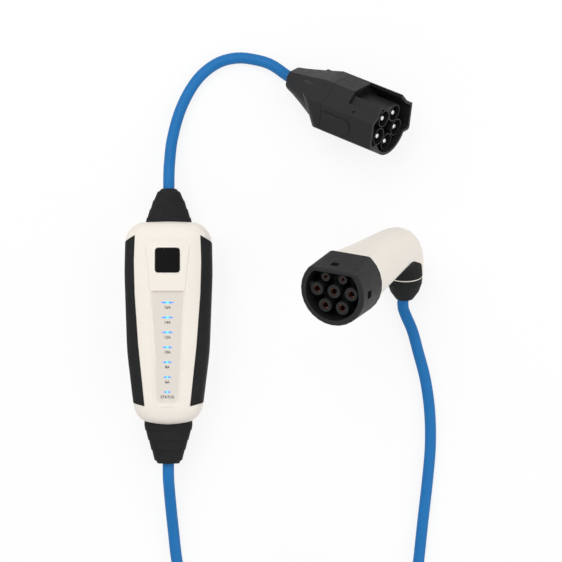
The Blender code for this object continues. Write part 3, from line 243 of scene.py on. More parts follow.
# Nodes of the model, by what is done with them.
COUPLER_NODES = ["coupler_back_shell", "coupler_shroud", "contact_insert"]
COUPLER_NODES += [f"coupler_pin_{index}" for index in range(1, 6)]
CONTACT_NODES = [f"power_contact_{index}" for index in range(1, 6)] + ["signal_contact_1", "signal_contact_2"]
CONNECTOR_NODES = ["connector_collar", "contact_carrier", "connector_boot"]
HANDLE_NODES = ["connector_handle", "right_inlay", "left_inlay"]
STRIP_NODES = ["indicator_strip"] + [f"led_window_{index}" for index in range(1, 8)]


def place_camera():
    camera = bpy.data.objects.new("camera", bpy.data.cameras.new("camera"))
    back = Vector((0.0, -math.cos(VIEW_ELEVATION), math.sin(VIEW_ELEVATION)))
    camera.location = VIEW_CENTRE + back * VIEW_DISTANCE
    camera.rotation_euler = (math.pi / 2 - VIEW_ELEVATION, 0.0, 0.0)
    camera.data.sensor_width = SENSOR
    camera.data.lens = SENSOR * VIEW_DISTANCE / VIEW_WIDTH
    bpy.context.scene.collection.objects.link(camera)
    bpy.context.scene.camera = camera


def new_finish(name, colour, roughness, metallic=0.0, specular=0.5, coat=0.0, coat_roughness=0.1):
    """Principled material with its constants on the shader's own sockets."""
    material = bpy.data.materials.new(name)
    material.use_nodes = True
    shader = material.node_tree.nodes["Principled BSDF"]
    shader.inputs["Base Color"].default_value = (*colour, 1.0)
    shader.inputs["Roughness"].default_value = roughness
    shader.inputs["Metallic"].default_value = metallic
    shader.inputs["Specular IOR Level"].default_value = specular
    shader.inputs["Coat Weight"].default_value = coat
    shader.inputs["Coat Roughness"].default_value = coat_roughness
    return material


def node(material, kind, inputs=None, **settings):
    """New node with its settings; an input is a value or another node's output."""
    made = material.node_tree.nodes.new(kind)
    for key, value in settings.items():
        setattr(made, key, value)
    for key, value in (inputs or {}).items():
        if isinstance(value, bpy.types.NodeSocket):
            material.node_tree.links.new(value, made.inputs[key])
        else:
            made.inputs[key].default_value = value
    return made


def noise(material, scale, detail=3.0, stretch=(1.0, 1.0, 1.0)):
    """Noise over the piece's own coordinates, as a value about 0.5."""
    place = node(material, "ShaderNodeTexCoord").outputs["Object"]
    mapped = node(material, "ShaderNodeMapping", {"Vector": place, "Scale": stretch}).outputs["Vector"]
    pattern = node(material, "ShaderNodeTexNoise", {"Vector": mapped, "Scale": scale, "Detail": detail})
    return pattern.outputs["Fac"]


def vary(material, socket, value, low, high):
    """Lead a value near 0.5 to a socket, spread between low and high."""
    spread = node(material, "ShaderNodeMapRange", {
        "Value": value, "From Min": 0.3, "From Max": 0.7, "To Min": low, "To Max": high,
    })
    shader = material.node_tree.nodes["Principled BSDF"]
    material.node_tree.links.new(spread.outputs["Result"], shader.inputs[socket])


def tint(material, value, dark, light):
    """Colour between two tints, by a value near 0.5."""
    ramp = node(material, "ShaderNodeValToRGB", {"Fac": value})
    ramp.color_ramp.elements[0].position = 0.3
    ramp.color_ramp.elements[0].color = (*dark, 1.0)
    ramp.color_ramp.elements[1].position = 0.7
    ramp.color_ramp.elements[1].color = (*light, 1.0)
    shader = material.node_tree.nodes["Principled BSDF"]
    material.node_tree.links.new(ramp.outputs["Color"], shader.inputs["Base Color"])


def relief(material, value, depth, strength=1.0):
    bump = node(material, "ShaderNodeBump", {"Height": value, "Distance": depth, "Strength": strength})
    shader = material.node_tree.nodes["Principled BSDF"]
    material.node_tree.links.new(bump.outputs["Normal"], shader.inputs["Normal"])


def scaled(colour, factor):
    return tuple(channel * factor for channel in colour)


def moulded(name, colour, roughness, grain, depth, spread=0.03, **sockets):
    """Moulded plastic or rubber: cloudy tint, fine grain and uneven gloss."""
    material = new_finish(name, colour, roughness, **sockets)
    tint(material, noise(material, 45.0), scaled(colour, 1 - spread), scaled(colour, 1 + spread))
    vary(material, "Roughness", noise(material, 160.0), roughness - 0.05, roughness + 0.05)
    relief(material, noise(material, grain, 2.0), depth)
    return material


def cream_plastic():
    return moulded("cream_plastic", (0.930, 0.868, 0.785), 0.42, 2600.0, 0.00002, 0.012, specular=0.35)


def window_light():
    """Lit window: cyan in the middle, blue towards both ends."""
    material = new_finish("window_light", (0.10, 0.30, 0.90), 0.25)
    place = node(material, "ShaderNodeTexCoord").outputs["Object"]
    parts = node(material, "ShaderNodeSeparateXYZ", {"Vector": place}).outputs
    low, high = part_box("led_window_7"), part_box("led_window_1")
    half = node(material, "ShaderNodeMapRange", {
        "Value": parts["Y"], "From Min": (low[0].y + low[1].y) / 2, "From Max": (high[0].y + high[1].y) / 2,
        "To Min": low[1].x, "To Max": high[1].x,
    }).outputs["Result"]
    reach = node(material, "ShaderNodeMath", {0: parts["X"]}, operation="ABSOLUTE").outputs[0]
    share = node(material, "ShaderNodeMath", {0: reach, 1: half}, operation="DIVIDE").outputs[0]
    ramp = node(material, "ShaderNodeValToRGB", {"Fac": share})
    ramp.color_ramp.elements[0].color = (0.10, 0.80, 1.0, 1.0)
    ramp.color_ramp.elements[0].position = 0.12
    ramp.color_ramp.elements[1].color = (0.065, 0.24, 0.95, 1.0)
    ramp.color_ramp.elements[1].position = 0.36
    shader = material.node_tree.nodes["Principled BSDF"]
    material.node_tree.links.new(ramp.outputs["Color"], shader.inputs["Base Color"])
    material.node_tree.links.new(ramp.outputs["Color"], shader.inputs["Emission Color"])
    shader.inputs["Emission Strength"].default_value = 0.45
    vary(material, "Roughness", noise(material, 300.0), 0.2, 0.3)
    return material


def grey_floor_with_painted_shade():
    """Channel floor in the strip's own grey, with painted shade that darkens the flanks towards the floor and
    fades to the shell's cream at the rim.
    """
    material = cream_plastic()
    material.name = "channel_strip_and_painted_shade"
    tree = material.node_tree
    place = node(material, "ShaderNodeTexCoord").outputs["Object"]
    height = node(material, "ShaderNodeSeparateXYZ", {"Vector": place}).outputs["Z"]
    floor_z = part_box("indicator_strip")[1].z
    rise = node(material, "ShaderNodeMapRange", {
        "Value": height, "From Min": floor_z, "From Max": FRONT_Z, "To Min": 0.0, "To Max": 1.0,
    }).outputs["Result"]
    # painted shade: the tint grows darker the deeper a point lies in the channel, standing in for the shade
    # in the recess
    ramp = node(material, "ShaderNodeValToRGB", {"Fac": rise})
    ramp.color_ramp.elements[0].color = (0.790, 0.735, 0.665, 1.0)
    ramp.color_ramp.elements[1].color = (0.930, 0.868, 0.785, 1.0)
    shader = tree.nodes["Principled BSDF"]
    tree.links.new(ramp.outputs["Color"], shader.inputs["Base Color"])
    return material


def metal(name, colour, dark, roughness, scale, stretch=(1.0, 1.0, 1.0)):
    """Bare metal with a patchy tarnish and fine turning marks."""
    material = new_finish(name, colour, roughness, 1.0)
    tint(material, noise(material, scale), dark, colour)
    vary(material, "Roughness", noise(material, scale * 2), roughness - 0.08, roughness + 0.10)
    relief(material, noise(material, scale * 8, 2.0, stretch), 0.00001)
    return material


FINISHES = {
    "cream_shell": cream_plastic(),
    "black_rubber": moulded(
        "black_rubber", (0.0130, 0.0135, 0.0142), 0.76, 1500.0, 0.00006, 0.10, specular=0.20,
    ),
    "black_plastic": moulded(
        "black_plastic", (0.0110, 0.0112, 0.0117), 0.50, 2200.0, 0.00003, 0.10, specular=0.26,
    ),
    "gloss_black": moulded(
        "gloss_black", (0.0020, 0.0020, 0.0020), 0.25, 400.0, 0.000004, 0.2, specular=0.06,
    ),
    "cable_blue": moulded("cable_blue", (0.009, 0.172, 0.480), 0.50, 700.0, 0.00003, 0.05, specular=0.25),
    "window_blue": window_light(),
    "strip_grey": moulded("strip_film", (0.775, 0.722, 0.655), 0.50, 1800.0, 0.00002, 0.012),
    "channel_strip_and_painted_shade": grey_floor_with_painted_shade(),
    "print_grey": moulded("print_ink", (0.045, 0.040, 0.036), 0.60, 1800.0, 0.00001, 0.05),
    "line_white": moulded("pale_line", (0.985, 0.955, 0.905), 0.35, 1800.0, 0.00001, 0.01),
    "steel": metal("pin_steel", (0.80, 0.79, 0.76), (0.60, 0.59, 0.56), 0.26, 350.0),
    "copper": metal("contact_copper", (0.62, 0.22, 0.12), (0.30, 0.10, 0.06), 0.30, 420.0),
    "board_green": moulded("solder_mask", (0.015, 0.120, 0.050), 0.50, 900.0, 0.00003, 0.15),
    "relay_blue": moulded("relay_case", (0.030, 0.090, 0.250), 0.45, 900.0, 0.00003, 0.06),
    "ferrite": moulded("ferrite_core", (0.045, 0.040, 0.038), 0.68, 1200.0, 0.00008, 0.15),
}
SLOT_OF = {row["node"]: row["material_slot"] for row in frame["record"]["subparts"]}


def wear(piece, slot):
    """Give a piece its finish and hang it on the root body."""
    piece.data.materials.clear()
    piece.data.materials.append(FINISHES[slot])
    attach(piece, "root")
    return piece


def orientation(axis, up):
    """Rotation whose local Z is the axis, with local Y as near to up as it can be."""
    z_axis = Vector(axis).normalized()
    x_axis = Vector(up).cross(z_axis).normalized()
    y_axis = z_axis.cross(x_axis)
    return Matrix((x_axis, y_axis, z_axis)).transposed().to_4x4()


def face_frame(cad_node, axis, up, face_xy):
    """Frame at the open face of the coupler or connector, read off the node that ends there."""
    reach = max(axis.dot(point.co) for point in frame["nodes"][cad_node].data.vertices)
    height = (reach - axis.x * face_xy[0] - axis.y * face_xy[1]) / axis.z
    return Matrix.Translation((*face_xy, height)) @ orientation(axis, up)


CONNECTOR_SHIFT = Matrix.Translation(CONNECTOR_NUDGE)
COUPLER_FACE = Matrix.Translation(COUPLER_NUDGE)
COUPLER_FACE = COUPLER_FACE @ face_frame("coupler_shroud", COUPLER_AXIS, COUPLER_UP, COUPLER_FACE_XY)
CONNECTOR_FACE = CONNECTOR_SHIFT @ face_frame(
    "connector_collar", CONNECTOR_AXIS, CONNECTOR_UP, CONNECTOR_FACE_XY,
)


def smooth_route(points, spacing):
    """Evenly spaced points on a smooth curve through given ones."""
    knots = [Vector(point) for point in points]
    fine = [knots[0]]
    for index in range(len(knots) - 1):
        start, stop = knots[index], knots[index + 1]
        before = knots[index - 1] if index else start - (stop - start)
        after = knots[index + 2] if index + 2 < len(knots) else stop + (stop - start)
        reach = (stop - start).length
        leave = start + (stop - before) * (reach / ((stop - start).length + (start - before).length) / 3)
        arrive = stop - (after - start) * (reach / ((stop - start).length + (after - stop).length) / 3)
        fine += interpolate_bezier(start, leave, arrive, stop, ROUTE_STEPS)[1:]
    lengths = [(b - a).length for a, b in zip(fine, fine[1:])]
    total = sum(lengths)
    count = max(2, round(total / spacing))
    route, target, run, index = [fine[0]], total / count, 0.0, 0
    for step in range(1, count):
        while run + lengths[index] < target * step:
            run += lengths[index]
            index += 1
        route.append(fine[index].lerp(fine[index + 1], (target * step - run) / lengths[index]))
    return route + [fine[-1]]


def eased(share):
    return share * share * (3 - 2 * share)


def coil_route(start, stop):
    """Two layers of turns: in along the lower one, up, and out along the upper one."""
    first = math.atan2(start.y - COIL_CENTRE.y, start.x - COIL_CENTRE.x)
    last = math.atan2(stop.y - COIL_CENTRE.y, stop.x - COIL_CENTRE.x)
    start_radius = (start - COIL_CENTRE).xy.length
    stop_radius = (stop - COIL_CENTRE).xy.length
    settle = math.radians(70)
    inward = first + settle
    climb = inward + COIL_LOW_TURNS * 2 * math.pi
    outward = climb + COIL_CLIMB_TURNS * 2 * math.pi
    inner = COIL_INNER - CABLE_DIAMETER * COIL_CLIMB_TURNS
    turns = math.floor((COIL_OUTER - inner) / CABLE_DIAMETER)
    leave = last - settle + 2 * math.pi * math.ceil((outward - last + settle) / (2 * math.pi) + turns - 1)
    end = leave + settle
    stages = (
        (first, inward, start_radius, COIL_OUTER, start.z, COIL_LOW_Z),
        (inward, climb, COIL_OUTER, COIL_INNER, COIL_LOW_Z, COIL_LOW_Z),
        (climb, outward, COIL_INNER, inner, COIL_LOW_Z, COIL_HIGH_Z),
        (outward, leave, inner, COIL_OUTER, COIL_HIGH_Z, COIL_HIGH_Z),
        (leave, end, COIL_OUTER, stop_radius, COIL_HIGH_Z, stop.z),
    )
    route = []
    for stage, (begin, finish, near, far, low, high) in enumerate(stages):
        count = max(COIL_STEPS_LEAST, round((finish - begin) / (2 * math.pi) * COIL_POINTS_A_TURN))
        for step in range(count):
            share = step / count
            angle = begin + (finish - begin) * share
            radius = near + (far - near) * (eased(share) if stage in (0, 4) else share)
            height = low + (high - low) * eased(share)
            route.append(COIL_CENTRE + Vector((radius * math.cos(angle), radius * math.sin(angle), height)))
    return route


def cable_curve(name, route):
    curve = bpy.data.curves.new(name, "CURVE")
    curve.dimensions = "3D"
    curve.bevel_depth = CABLE_DIAMETER / 2
    curve.bevel_resolution = 6
    curve.resolution_u = 1
    curve.render_resolution_u = 0
    curve.use_fill_caps = True
    spline = curve.splines.new("POLY")
    spline.points.add(len(route) - 1)
    for point, place in zip(spline.points, route):
        point.co = (*place, 1.0)
    cable = bpy.data.objects.new(name, curve)
    bpy.context.scene.collection.objects.link(cable)
    return wear(cable, "cable_blue")


def make_supply_cable():
    ahead = Vector((0, 1, 0))
    end = COUPLER_FACE @ CABLE_END + Vector((0.0, 0.0, COUPLER_DROP))
    arriving = [end - COUPLER_AXIS * COUPLER_LEAD_IN, end]
    points = [UPPER_EXIT, UPPER_EXIT + ahead * STRAIGHT, *SUPPLY_ROUTE, *arriving]
    route = smooth_route(points, CABLE_DIAMETER / 2)
    cable = cable_curve("supply_cable", route)
    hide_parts("supply_lead")


def make_charge_cable():
    down = Vector((0, -1, 0))
    near = smooth_route([LOWER_EXIT, LOWER_EXIT + down * STRAIGHT, *BOX_SIDE_ROUTE], CABLE_DIAMETER / 2)
    boot = [CONNECTOR_SHIFT @ point.co for point in frame["nodes"]["connector_boot"].data.vertices]
    heading = CONNECTOR_FACE.to_3x3() @ Vector((0.0, -math.sin(HANDLE_TURN), -math.cos(HANDLE_TURN)))
    reach = max(heading.dot(point) for point in boot)
    tip = [point for point in boot if heading.dot(point) > reach - 0.0001]
    end = sum(tip, Vector()) / len(tip)
    bend = CONNECTOR_FACE.inverted() @ (end - heading * CONNECTOR_BOOT_LENGTH)
    bend.z += HANDLE_BEND * math.sin(HANDLE_TURN)
    inside = []
    for share in (0.25, 0.5, 0.75, 1.0):
        angle = HANDLE_TURN * share
        place = Vector((0.0, -HANDLE_BEND * (1 - math.cos(angle)), bend.z - HANDLE_BEND * math.sin(angle)))
        inside.append(CONNECTOR_FACE @ place)
    far = smooth_route([*inside, end, end + heading * STRAIGHT, *PLUG_SIDE_ROUTE], CABLE_DIAMETER / 2)
    route = near[:-1] + coil_route(near[-1], far[-1]) + far[::-1]
    cable = cable_curve("charge_cable", route)
    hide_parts("charge_lead_box_side", "charge_lead_coil", "charge_lead_plug_side")


def finish_piece(name, mesh, slot, bevel, sharp, *cad_nodes):
    """Object for a mesh, with its arrises broken, its finish on and its nodes replaced."""
    mesh.shade_smooth()
    mesh.set_sharp_from_angle(angle=math.radians(sharp))
    piece = bpy.data.objects.new(name, mesh)
    bpy.context.scene.collection.objects.link(piece)
    if bevel:
        edge = piece.modifiers.new("arris", "BEVEL")
        edge.width = bevel
        edge.segments = 2
        edge.limit_method = "ANGLE"
        edge.angle_limit = math.radians(sharp)
        edge.harden_normals = True
    weigh = piece.modifiers.new("weigh", "WEIGHTED_NORMAL")
    weigh.keep_sharp = True
    wear(piece, slot)
    if cad_nodes:
        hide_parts(*cad_nodes)
    return piece


def join_flats(code):
    """Join triangles that lie in one plane into whole faces."""
    bmesh.ops.dissolve_limit(
        code, angle_limit=FLAT_ANGLE, use_dissolve_boundaries=False,
        verts=code.verts, edges=code.edges, delimit=set(),
    )


def welded(cad_node):
    """Bmesh of a CAD solid with its triangles joined into whole faces."""
    code = bmesh.new()
    code.from_mesh(frame["nodes"][cad_node].data)
    bmesh.ops.remove_doubles(code, verts=code.verts, dist=WELD_DISTANCE)
    join_flats(code)
    return code


def meshed(name, code):
    mesh = bpy.data.meshes.new(name)
    code.to_mesh(mesh)
    code.free()
    return mesh


def finished_copy(cad_node, bevel=0.0, sharp=32.0):
    """Welded copy of a CAD solid that stands for it."""
    code = welded(cad_node)
    if cad_node in SLOPED_NODES:
        slope_panel(code)
    if cad_node in CONNECTOR_NODES + CONTACT_NODES:
        bmesh.ops.transform(code, matrix=CONNECTOR_SHIFT, verts=code.verts)
    if cad_node == "upper_boot":
        round_shoulders(code)
    name = cad_node + "_finished"
    return finish_piece(name, meshed(name, code), SLOT_OF[cad_node], bevel, sharp, cad_node)


def slope_panel(code):
    """Let the raised panel on the box's front fade into it towards its top."""
    for point in code.verts:
        if point.co.z > FRONT_Z:
            share = (point.co.y - PANEL_FOOT_Y) / (PANEL_TOP_Y - PANEL_FOOT_Y)
            point.co.z = FRONT_Z + (point.co.z - FRONT_Z) * (1 - min(1.0, max(0.0, share)))
    low, high = (PANEL_TOP_Y + reach for reach in PANEL_TOP_BAND)
    top = [
        edge for edge in code.edges
        if all(low < point.co.y < high and point.co.z > FRONT_Z - PANEL_SKIN for point in edge.verts)
    ]
    bmesh.ops.dissolve_limit(
        code, angle_limit=PANEL_FLAT_ANGLE, use_dissolve_boundaries=False, verts=[], edges=top, delimit=set(),
    )


def round_shoulders(code):
    """Draw in the end of the boot that the supply cable leaves."""
    for point in code.verts:
        share = max(0.0, 1 - (UPPER_EXIT.y - point.co.y) / SHOULDER_LENGTH)
        slim = 1 - SHOULDER_DEPTH * share * share
        point.co.x *= slim
        point.co.z = BOOT_AXIS_Z + (point.co.z - BOOT_AXIS_Z) * slim


def ring(code, points):
    """Closed loop of edges through points."""
    corners = [code.verts.new(point) for point in points]
    return [code.edges.new(pair) for pair in zip(corners, corners[1:] + corners[:1])]


def skin(rings):
    """Closed skin bridged from ring to ring, with both ends filled."""
    code = bmesh.new()
    loops = [ring(code, points) for points in rings]
    for near, far in zip(loops, loops[1:]):
        bmesh.ops.bridge_loops(code, edges=near + far)
    for loop in (loops[0], loops[-1]):
        bmesh.ops.contextual_create(code, geom=loop)
    bmesh.ops.recalc_face_normals(code, faces=code.faces)
    return code


def at_depth(points, depth):
    return [(x, y, -depth) for x, y in points]


def prism(points, near, far):
    """Straight length of an outline between two depths behind the face."""
    return skin([at_depth(points, near), at_depth(points, far)])


def box(low, high):
    code = bmesh.new()
    bmesh.ops.create_cube(code, size=1.0)
    bmesh.ops.scale(code, vec=Vector(high) - Vector(low), verts=code.verts)
    bmesh.ops.translate(code, vec=(Vector(low) + Vector(high)) / 2, verts=code.verts)
    return code


def round_bar(radius, near, far, centre, sides=40):
    code = bmesh.new()
    bmesh.ops.create_cone(
        code, cap_ends=True, segments=sides, radius1=radius, radius2=radius, depth=far - near,
    )
    bmesh.ops.translate(code, vec=(*centre, -(near + far) / 2), verts=code.verts)
    return code


def working_solid(name, code):
    """Object for a bmesh that is still to be cut or joined."""
    solid = bpy.data.objects.new(name, meshed(name, code))
    bpy.context.scene.collection.objects.link(solid)
    return solid


def combine(solid, operation, *codes):
    """Cut, join or intersect a solid with others, which are used up."""
    for code in codes:
        tool = working_solid("tool", code) if isinstance(code, bmesh.types.BMesh) else code
        step = solid.modifiers.new("step", "BOOLEAN")
        step.operation = operation
        step.object = tool
        graph = bpy.context.evaluated_depsgraph_get()
        shaped = bpy.data.meshes.new_from_object(solid.evaluated_get(graph))
        solid.modifiers.clear()
        solid.data = shaped
        bpy.data.objects.remove(tool, do_unlink=True)
    return solid


def release(solid, place):
    """Mesh of a finished solid at its place; the working object goes."""
    mesh = solid.data
    mesh.transform(place)
    bpy.data.objects.remove(solid, do_unlink=True)
    code = bmesh.new()
    code.from_mesh(mesh)
    bmesh.ops.remove_doubles(code, verts=code.verts, dist=WELD_DISTANCE)
    bmesh.ops.dissolve_degenerate(code, edges=code.edges, dist=WELD_DISTANCE)
    join_flats(code)
    code.to_mesh(mesh)
    code.free()
    return mesh


def rounded(corners, radii, steps):
    """Closed outline through corners, each rounded with its own radius and steps."""
    points = []
    for index, corner in enumerate(corners):
        here = Vector(corner)
        back = (Vector(corners[index - 1]) - here).normalized()
        ahead = (Vector(corners[(index + 1) % len(corners)]) - here).normalized()
        half = back.angle(ahead) / 2
        middle = here + (back + ahead).normalized() * (radii[index] / math.sin(half))
        start = here + back * (radii[index] / math.tan(half))
        sweep = (start - middle).angle_signed(here + ahead * (radii[index] / math.tan(half)) - middle)
        for step in range(steps[index] + 1):
            point = middle + Matrix.Rotation(-sweep * step / steps[index], 2) @ (start - middle)
            points.append((point.x, point.y))
    return points


def grown(points, amount):
    """Anticlockwise outline moved outwards by an amount, point by point."""
    moved = []
    for index, point in enumerate(points):
        here = Vector(point)
        side_in = (here - Vector(points[index - 1])).normalized()
        side_out = (Vector(points[(index + 1) % len(points)]) - here).normalized()
        normal = Vector((side_in.y + side_out.y, -side_in.x - side_out.x)).normalized()
        place = here + normal * (amount / max(0.3, normal.dot(Vector((side_in.y, -side_in.x)))))
        moved.append((place.x, place.y))
    return moved


def coupler_outline():
    """Front view of the coupler's middle: flat top, slanted facets, round below."""
    start = math.pi - math.asin(COUPLER_ROUND_FROM_Y / COUPLER_ROUND)
    sweep = 2 * (math.pi * 1.5 - start)
    steps = 36
    points = [COUPLER_TOP, (-COUPLER_TOP[0], COUPLER_TOP[1]), (-COUPLER_SHOULDER[0], COUPLER_SHOULDER[1])]
    for step in range(steps + 1):
        angle = start + sweep * step / steps
        points.append((COUPLER_ROUND * math.cos(angle), COUPLER_ROUND * math.sin(angle)))
    return points + [COUPLER_SHOULDER]


def wing_outline(grow=0.0):
    """Front view of both wings, whose slanted tops start under the facets."""
    right = [(WING_SIDE, WING_FOOT_Y), (WING_SIDE, WING_TOP_Y), WING_ROOT]
    corners = right + [(-x, y) for x, y in reversed(right)]
    top, foot = WING_CORNERS
    return rounded(grown(corners, grow), [foot, top, top, top, top, foot], [6, 3, 1, 1, 3, 6])


def coupler_length(name, grow, near, far):
    """Length of the coupler's full section, wings and all."""
    middle = working_solid(name, prism(grown(coupler_outline(), grow), near, far))
    return combine(middle, "UNION", prism(wing_outline(grow), near, far))


def pin_places():
    for index in range(5):
        angle = math.radians(FIRST_PIN_ANGLE + 72 * index)
        yield index + 1, (PIN_CIRCLE * math.cos(angle), PIN_CIRCLE * math.sin(angle))


def coupler_back_mesh():
    """Cone from the cable's end to the full section, with the wings' round starts."""
    near = SEAM_DEPTH + SMALL_GAP / 2
    rounding = CABLE_END_RADIUS * CABLE_END_ROUNDING
    sections = [(COUPLER_DEPTH, 0.0, rounding), (COUPLER_DEPTH - rounding * 0.3, 0.0, rounding * 0.3)]
    sections.append((COUPLER_DEPTH - rounding, 0.0, 0.0))
    for step in range(1, CONE_STEPS + 1):
        share = step / CONE_STEPS
        depth = COUPLER_DEPTH - rounding + (CONE_DEPTH - COUPLER_DEPTH + rounding) * share
        sections.append((depth, share ** CONE_SWELL, 0.0))
    sections.append((near, 1.0, 0.0))
    centre = CABLE_END.xy
    rings = []
    for depth, share, inset in sections:
        around = []
        for point in coupler_outline():
            circle = centre + (Vector(point) - centre).normalized() * (CABLE_END_RADIUS - inset)
            around.append(circle.lerp(Vector(point), share))
        rings.append(at_depth(around, depth))
    back = working_solid("back", skin(rings))
    start = WING_TIP_DEPTH - WING_DEPTH
    corners = [
        (WING_SIDE, 0.0), (-WING_SIDE, 0.0), (-WING_SIDE, -WING_TIP_DEPTH), (WING_SIDE, -WING_TIP_DEPTH),
    ]
    plan = rounded(corners, [SMALL_GAP, SMALL_GAP, start, start], [1, 1, 14, 14])
    column = skin([
        [(x, side, z + (WING_TOP_Y - side) * WING_START_SLOPE) for x, z in plan]
        for side in (-WING_SIDE, WING_SIDE)
    ])
    wings = working_solid("wings", prism(wing_outline(), near, WING_TIP_DEPTH + COUPLER_WALL))
    return combine(back, "UNION", combine(wings, "INTERSECT", column))


def coupler_shroud_mesh():
    """Front sleeve with its two pads, its cavity and the channel through its top."""
    shroud = coupler_length("shroud", 0.0, 0.0, SEAM_DEPTH - SMALL_GAP / 2)
    x, y = PAD_HALF
    depth, height = PAD_CENTRE
    corners = [
        (depth + x, height + y), (depth - x, height + y), (depth - x, height - y), (depth + x, height - y),
    ]
    pad = rounded(corners, [PAD_CORNER, PAD_RISE, PAD_RISE, PAD_CORNER], [8, 2, 2, 8])
    for side in (-1, 1):
        reach = (side * (WING_SIDE - PAD_RISE), side * (WING_SIDE + PAD_RISE))
        combine(shroud, "UNION", skin([[(x, height, z) for z, height in pad] for x in reach]))
    cavity = coupler_length("cavity", -COUPLER_WALL, -COUPLER_WALL, SEAM_DEPTH + COUPLER_WALL)
    left, right = CHANNEL_SIDES
    above = COUPLER_TOP[1] * 1.2
    channel = box((left, COUPLER_SHOULDER[1] / 2, -CHANNEL_DEPTH), (right, above, COUPLER_WALL))
    hole = round_bar(HOLE_RADIUS, -WING_TOP_Y - COUPLER_WALL * 2, -WING_TOP_Y, (0.0, 0.0), 16)
    upright = Matrix.Rotation(-math.pi / 2, 4, "X")
    bmesh.ops.transform(hole, matrix=upright, verts=hole.verts)
    bmesh.ops.translate(hole, vec=(HOLE_PLACE[0], 0.0, -HOLE_PLACE[1]), verts=hole.verts)
    return combine(shroud, "DIFFERENCE", cavity, channel, hole)


def contact_insert_mesh():
    """Contact carrier: floor, key block, ridge and five sleeves."""
    fit = -COUPLER_WALL - SMALL_GAP
    insert = coupler_length("insert", fit, FLOOR_DEPTH, SEAM_DEPTH - SMALL_GAP)
    front = SLEEVE_DEPTH + SMALL_GAP
    half, top = KEY_SIZE
    key = box((-half, PIN_CIRCLE / 2, -FLOOR_DEPTH - COUPLER_WALL), (half, top, -front))
    ridge = prism(RIDGE_CORNERS[::-1], front, FLOOR_DEPTH + COUPLER_WALL)
    combine(insert, "UNION", key, ridge)
    for _, place in pin_places():
        combine(insert, "UNION", round_bar(SLEEVE_RADIUS, SLEEVE_DEPTH, FLOOR_DEPTH + COUPLER_WALL, place))
    bore = SLEEVE_RADIUS - SLEEVE_WALL
    for _, place in pin_places():
        combine(insert, "DIFFERENCE", round_bar(bore, -COUPLER_WALL, FLOOR_DEPTH, place))
    return insert


def pin_mesh(place):
    """Contact pin with a rounded tip."""
    code = round_bar(PIN_RADIUS, PIN_DEPTH, FLOOR_DEPTH - SMALL_GAP, place, 24)
    tip = [edge for edge in code.edges if all(point.co.z > -PIN_DEPTH - SMALL_GAP for point in edge.verts)]
    bmesh.ops.bevel(
        code, geom=tip, offset=PIN_RADIUS * PIN_TIP_ROUNDING, segments=4, profile=0.5, affect="EDGES",
        material=-1,
    )
    return code


def make_coupler():
    """Coupler's pieces, set down on the table together."""
    meshes = {
        "coupler_back_shell": release(coupler_back_mesh(), COUPLER_FACE),
        "coupler_shroud": release(coupler_shroud_mesh(), COUPLER_FACE),
        "contact_insert": release(contact_insert_mesh(), COUPLER_FACE),
    }
    for index, place in pin_places():
        mesh = meshed("pin", pin_mesh(place))
        mesh.transform(COUPLER_FACE)
        meshes[f"coupler_pin_{index}"] = mesh
    drop = min(point.co.z for mesh in meshes.values() for point in mesh.vertices)
    pieces = []
    for cad_node, mesh in meshes.items():
        mesh.transform(Matrix.Translation((0.0, 0.0, -drop)))
        bevel = COUPLER_BEVELS.get(cad_node, 0.0)
        pieces.append(finish_piece(cad_node + "_dressed", mesh, SLOT_OF[cad_node], bevel, 25.0, cad_node))
    return pieces, -drop


def flat_circle(radius, flat, corner, steps=40):
    """Circle with a flat side at the top, its two corners rounded."""
    centre = Vector((math.sqrt((radius - corner) ** 2 - (flat - corner) ** 2), flat - corner))
    slant = math.atan2(centre.y, centre.x)
    points = []
    for side, start, stop in ((1, slant, math.pi / 2), (-1, math.pi / 2, math.pi - slant)):
        for step in range(6):
            angle = start + (stop - start) * step / 5
            points.append((side * centre.x + corner * math.cos(angle), centre.y + corner * math.sin(angle)))
    points[6:6] = [(centre.x * share, flat) for share in (0.6, 0.2, -0.2, -0.6)]
    sweep = math.pi + 2 * slant
    for step in range(1, steps):
        angle = math.pi - slant + sweep * step / steps
        points.append((radius * math.cos(angle), radius * math.sin(angle)))
    return points


def handle_turn(share):
    return HANDLE_TURN * eased(min(1.0, max(0.0, (share - HANDLE_BEND_START) / (1.0 - HANDLE_BEND_START))))


def handle_place(share):
    """Frame on the handle's bent axis at a share of its length, in the connector's own frame."""
    steps = max(1, round(share * HANDLE_STEPS))
    middle = Vector((0.0, 0.0, -COLLAR_DEPTH))
    for step in range(steps):
        turn = handle_turn((step + 0.5) * share / steps)
        middle -= Vector((0.0, math.sin(turn), math.cos(turn))) * (HANDLE_LENGTH * share / steps)
    return Matrix.Translation(middle) @ Matrix.Rotation(-handle_turn(share), 4, "X")


def handle_form(grow=0.0, extra=0.0):
    """Outer form of the handle: flat-topped at the collar, round and slimmer further back."""
    start, end = HANDLE_RADII
    rings = []
    for step in range(HANDLE_RINGS + 1):
        share = step / HANDLE_RINGS
        radius = start + (end - start) * share ** HANDLE_TAPER + grow
        place = handle_place(share)
        around = []
        for point in flat_circle(*COLLAR_BACK):
            flat = Vector(point) * (radius / COLLAR_BACK[0])
            shape = flat.lerp(Vector(point).normalized() * radius, min(1.0, share / HANDLE_ROUND_AT))
            around.append(place @ Vector((*shape, 0.0)))
        rings.append(around)
    if extra:
        rings.append([point - handle_place(1.0).to_3x3() @ Vector((0.0, 0.0, extra)) for point in rings[-1]])
    return skin(rings)


def inlay_zone(lean, clearance):
    """Column of space that a grip inlay takes up at the handle's end, on the side it leans to."""
    outline = grown(rounded(INLAY_CORNERS, INLAY_RADII, [3, 3, 8, 8]), clearance)
    place = handle_place(1.0) @ Matrix.Rotation(lean, 4, "Z")
    heights = (COLLAR_BACK[0] * INLAY_INNER, COLLAR_BACK[0])
    rings = [[place @ Vector((x, -height, y)) for x, y in outline] for height in heights]
    return working_solid("zone", skin(rings))


